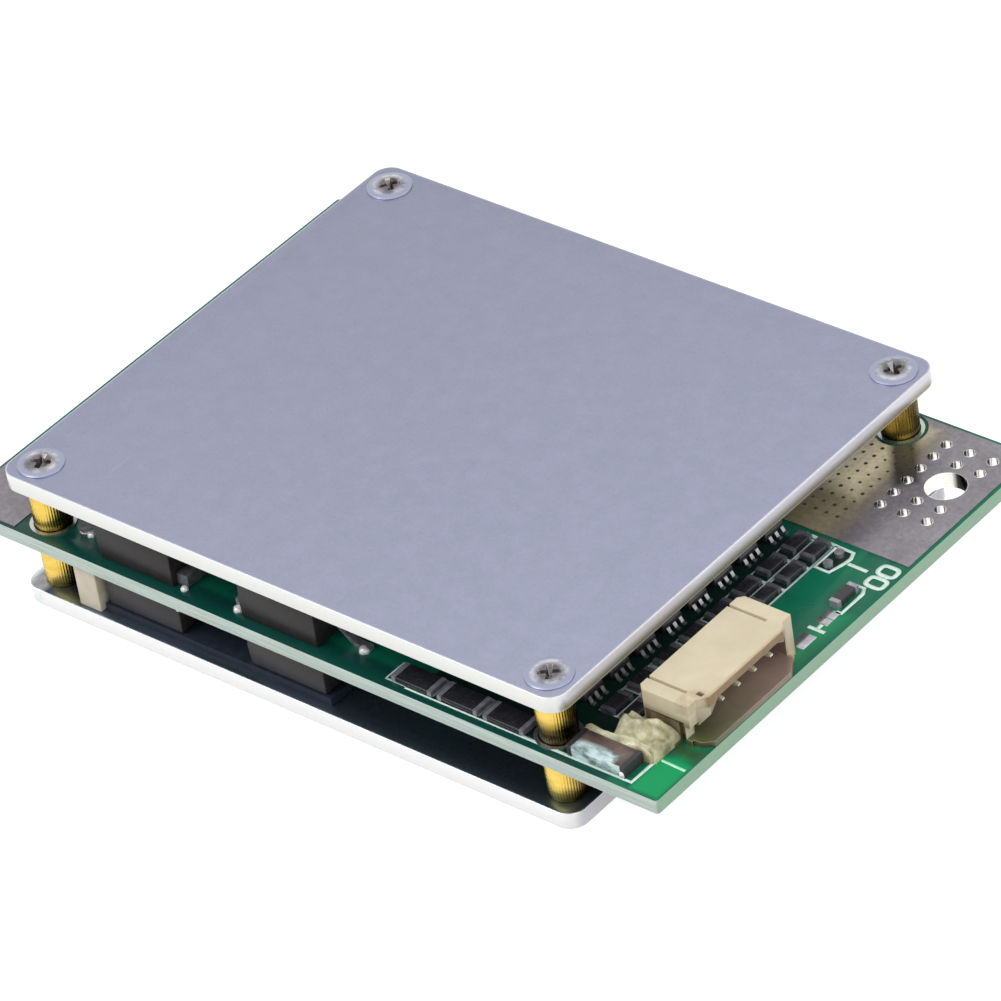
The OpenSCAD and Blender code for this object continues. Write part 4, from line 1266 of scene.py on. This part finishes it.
stripsAlong("cornerLegend", [[(14.0, -29.4), (41.9, -29.4), (42.0, -24.2)]])
stripsAlong("terminalLegend", [
    [(39.84, 7.3), (42.2, 7.25)],
    [(33.2, 9.1), (39.3, 8.9), (39.6, 8.0), (39.5, 7.2), (39.0, 5.3), (37.2, 5.3),
     (37.2, 8.9)],
    [(42.5, 4.7), (42.0, 4.7), (42.0, 5.0), (43.5, 5.0), (43.9, 4.2), (43.9, 0.8),
     (43.3, 0.8)],
    [(42.3, -2.4), (44.3, -2.4)], [(43.3, -2.17), (43.3, -1.4)],
])
# a plain figure of two rounded rings that touch
figure = {
    "x": 44.0, "y": (6.28, 8.24), "long": 1.0, "wide": 0.72, "square": 0.55, "steps": 16,
    "stroke": 0.5,
}


def squared(value):
    return math.copysign(abs(value) ** figure["square"], value)


rings = []
for y in figure["y"]:
    turns = [math.tau * (i + 0.5) / figure["steps"] for i in range(figure["steps"])]
    ring = [
        (figure["x"] + figure["long"] * squared(math.cos(a)),
         y + figure["wide"] * squared(math.sin(a))) for a in turns
    ]
    rings.append(ring + ring[:1])
stripsAlong("terminalFigure", rings, figure["stroke"])
# an outline round every block resistor
bleed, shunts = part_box("bleed_resistors"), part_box("shunt_resistors")
block = {"rows": 8, "long": 3.1, "column": 2.35, "half": (1.05, 1.85), "inset": 0.78}
shuntBlock = {"count": 3, "pitch": 5.75, "half": 2.75, "inset": 2.5, "y": (-29.3, -26.6)}
outlines = []
resistorPitch = ((bleed[1].y - bleed[0].y) / mm - block["long"]) / (block["rows"] - 1)
halfX, halfY = block["half"]
for i in range(block["rows"]):
    y = bleed[1].y / mm - block["long"] / 2 - i * resistorPitch
    for column in (0.0, block["column"]):
        x = bleed[0].x / mm + block["inset"] - column
        outlines.append(boxed(x - halfX, x + halfX, y - halfY, y + halfY))
for i in range(shuntBlock["count"]):
    x = shunts[1].x / mm - shuntBlock["inset"] - i * shuntBlock["pitch"]
    outlines.append(boxed(x - shuntBlock["half"], x + shuntBlock["half"], *shuntBlock["y"]))
stripsAlong("partOutlines", outlines, legend["thin"], "dullLegend")
# a bright green strip in front of the connector
stripsAlong("connectorLegend", [[(42.4, -25.4), (45.3, -25.5)]], 0.32, "brightGreenStrip")
pads = [(43.1, 0.2, 1.2), (43.1, -1.0, 1.0), (43.3, -4.4, 2.2)]
stripsAlong(
    "barePads", [[(x, y - deep / 2), (x, y + deep / 2)] for x, y, deep in pads], 1.5, "pad"
)
print("legend printed")

# bead of cloudy adhesive at the connector's front end

bead = [
    {"x": (33.3, 42.0), "y": (-26.4, -25.1), "tall": 1.5, "slope": 0.2, "cells": (70, 16)},
    {"x": (36.2, 42.3), "y": (-26.2, -21.9), "tall": 2.6, "slope": 1.5, "cells": (52, 40)},
]


def addLump(work, lump):
    (x0, x1), (y0, y1) = lump["x"], lump["y"]
    nx, ny = lump["cells"]

    def height(u, v):
        rim = min(1.0, min(u, 1 - u) * 6.0, min(v, 1 - v) * 3.6)
        rim = math.sqrt(max(0.0, 1 - (1 - max(0.0, rim)) ** 2))
        lumps = 0.72 + 0.12 * math.sin(8.0 * u + 3.0 * v)
        lumps += 0.12 * math.cos(13.0 * v - 4.0 * u)
        fine = 0.035 * math.sin(27.0 * u + 4.0) * math.sin(21.0 * v + 1.0)
        rise = 1.0 - lump["slope"] * (0.45 - 0.45 * min(1.0, 1.6 * v))
        return lump["tall"] * rim * (lumps + fine) * rise

    grid = []
    for j in range(ny + 1):
        row = []
        for i in range(nx + 1):
            u, v = i / nx, j / ny
            wave = 0.35 * math.sin(7.0 * v) * u * (1 - u) * 4
            row.append(work.verts.new((
                (x0 + (x1 - x0) * u + wave) * mm, (y0 + (y1 - y0) * v) * mm,
                top + height(u, v) * mm + 0.004 * mm,
            )))
        grid.append(row)
    for below, above in zip(grid, grid[1:]):
        for i in range(nx):
            work.faces.new((below[i], below[i + 1], above[i + 1], above[i]))
    # one face underneath, round the whole rim
    work.faces.new(
        grid[0][::-1] + [row[0] for row in grid[1:]] + grid[ny][1:]
        + [row[nx] for row in grid[ny - 1:0:-1]]
    )


def layBead(work):
    for lump in bead:
        addLump(work, lump)


piece = built("adhesiveBead", layBead)
smoothSides(piece.data, 60)
finishPiece(piece, "glue", ["adhesive_bead"])
print("adhesive laid")

# camera

cameraView = {
    "place": (0.369968, -0.367104, 0.398455),
    "right": (0.76617509, 0.62902482, -0.13154278),
    "up": (-0.30386714, 0.53497805, 0.7883294),
    "back": (0.56625126, -0.56402682, 0.60102683),
    "lens": 234.153, "sensor": 36.0, "clip": (0.01, 20.0),
}
camera = objectFrom("camera", bpy.data.cameras.new("camera"))
axes = Matrix([cameraView[key] for key in ("right", "up", "back")]).transposed().to_4x4()
camera.matrix_world = Matrix.Translation(cameraView["place"]) @ axes
camera.data.lens, camera.data.sensor_width = cameraView["lens"], cameraView["sensor"]
camera.data.clip_start, camera.data.clip_end = cameraView["clip"]
bpy.context.scene.camera = camera

# floor, light and background

studio = {
    "ambient": 0.62, "floorGlow": 0.86, "floorTone": 0.42, "floorSize": 3.0,
    "aim": (0.0, 0.0, 0.008),
}
# each lamp's place, size and power
for name, place, size, power in (
    ("keyLight", (-0.35, -0.55, 0.75), 0.7, 5.0),
    ("fillLight", (0.6, -0.1, 0.8), 0.8, 3.0),
    ("sideLight", (0.75, 0.45, 0.3), 0.5, 1.3),
):
    lamp = objectFrom(name, bpy.data.lights.new(name, "AREA"))
    lamp.data.size, lamp.data.energy = size, power
    lamp.location = place
    aim = Vector(studio["aim"]) - Vector(place)
    lamp.rotation_euler = aim.to_track_quat("-Z", "Y").to_euler()


def seenDirectly(tree):
    # 1 for what the eye, a shiny surface or a clear one sees
    path = put(tree, "ShaderNodeLightPath").outputs
    seen = maths(tree, "MAXIMUM", path["Is Camera Ray"], path["Is Glossy Ray"])
    return maths(tree, "MAXIMUM", seen, path["Is Transmission Ray"])


world = bpy.data.worlds.new("studio")
bpy.context.scene.world = world
world.use_nodes = True
sky = world.node_tree
sky.nodes.clear()
white = (1.0, 1.0, 1.0, 1.0)
ambient, backdrop = (
    put(sky, "ShaderNodeBackground", {"Color": white, "Strength": strength}).outputs[0]
    for strength in (studio["ambient"], 1.0)
)
skyMix = put(sky, "ShaderNodeMixShader", {0: seenDirectly(sky), 1: ambient, 2: backdrop})
put(sky, "ShaderNodeOutputWorld", {0: skyMix.outputs[0]})


def makeFloor():
    floor = built("floor", lambda work: bmesh.ops.create_grid(
        work, x_segments=1, y_segments=1, size=studio["floorSize"]
    ))
    material = bpy.data.materials.new("paleFloor")
    material.use_nodes = True
    tree = material.node_tree
    tree.nodes.clear()
    tone = (*[studio["floorTone"]] * 3, 1.0)
    matt = put(tree, "ShaderNodeBsdfDiffuse", {"Color": tone})
    glow = put(tree, "ShaderNodeEmission", {
        "Color": white, "Strength": times(tree, seenDirectly(tree), studio["floorGlow"]),
    })
    both = put(tree, "ShaderNodeAddShader", {0: matt.outputs[0], 1: glow.outputs[0]})
    put(tree, "ShaderNodeOutputMaterial", {"Surface": both.outputs[0]})
    floor.data.materials.append(material)


makeFloor()
bpy.context.scene.view_settings.view_transform = "Standard"
print("camera, floor and lights set")
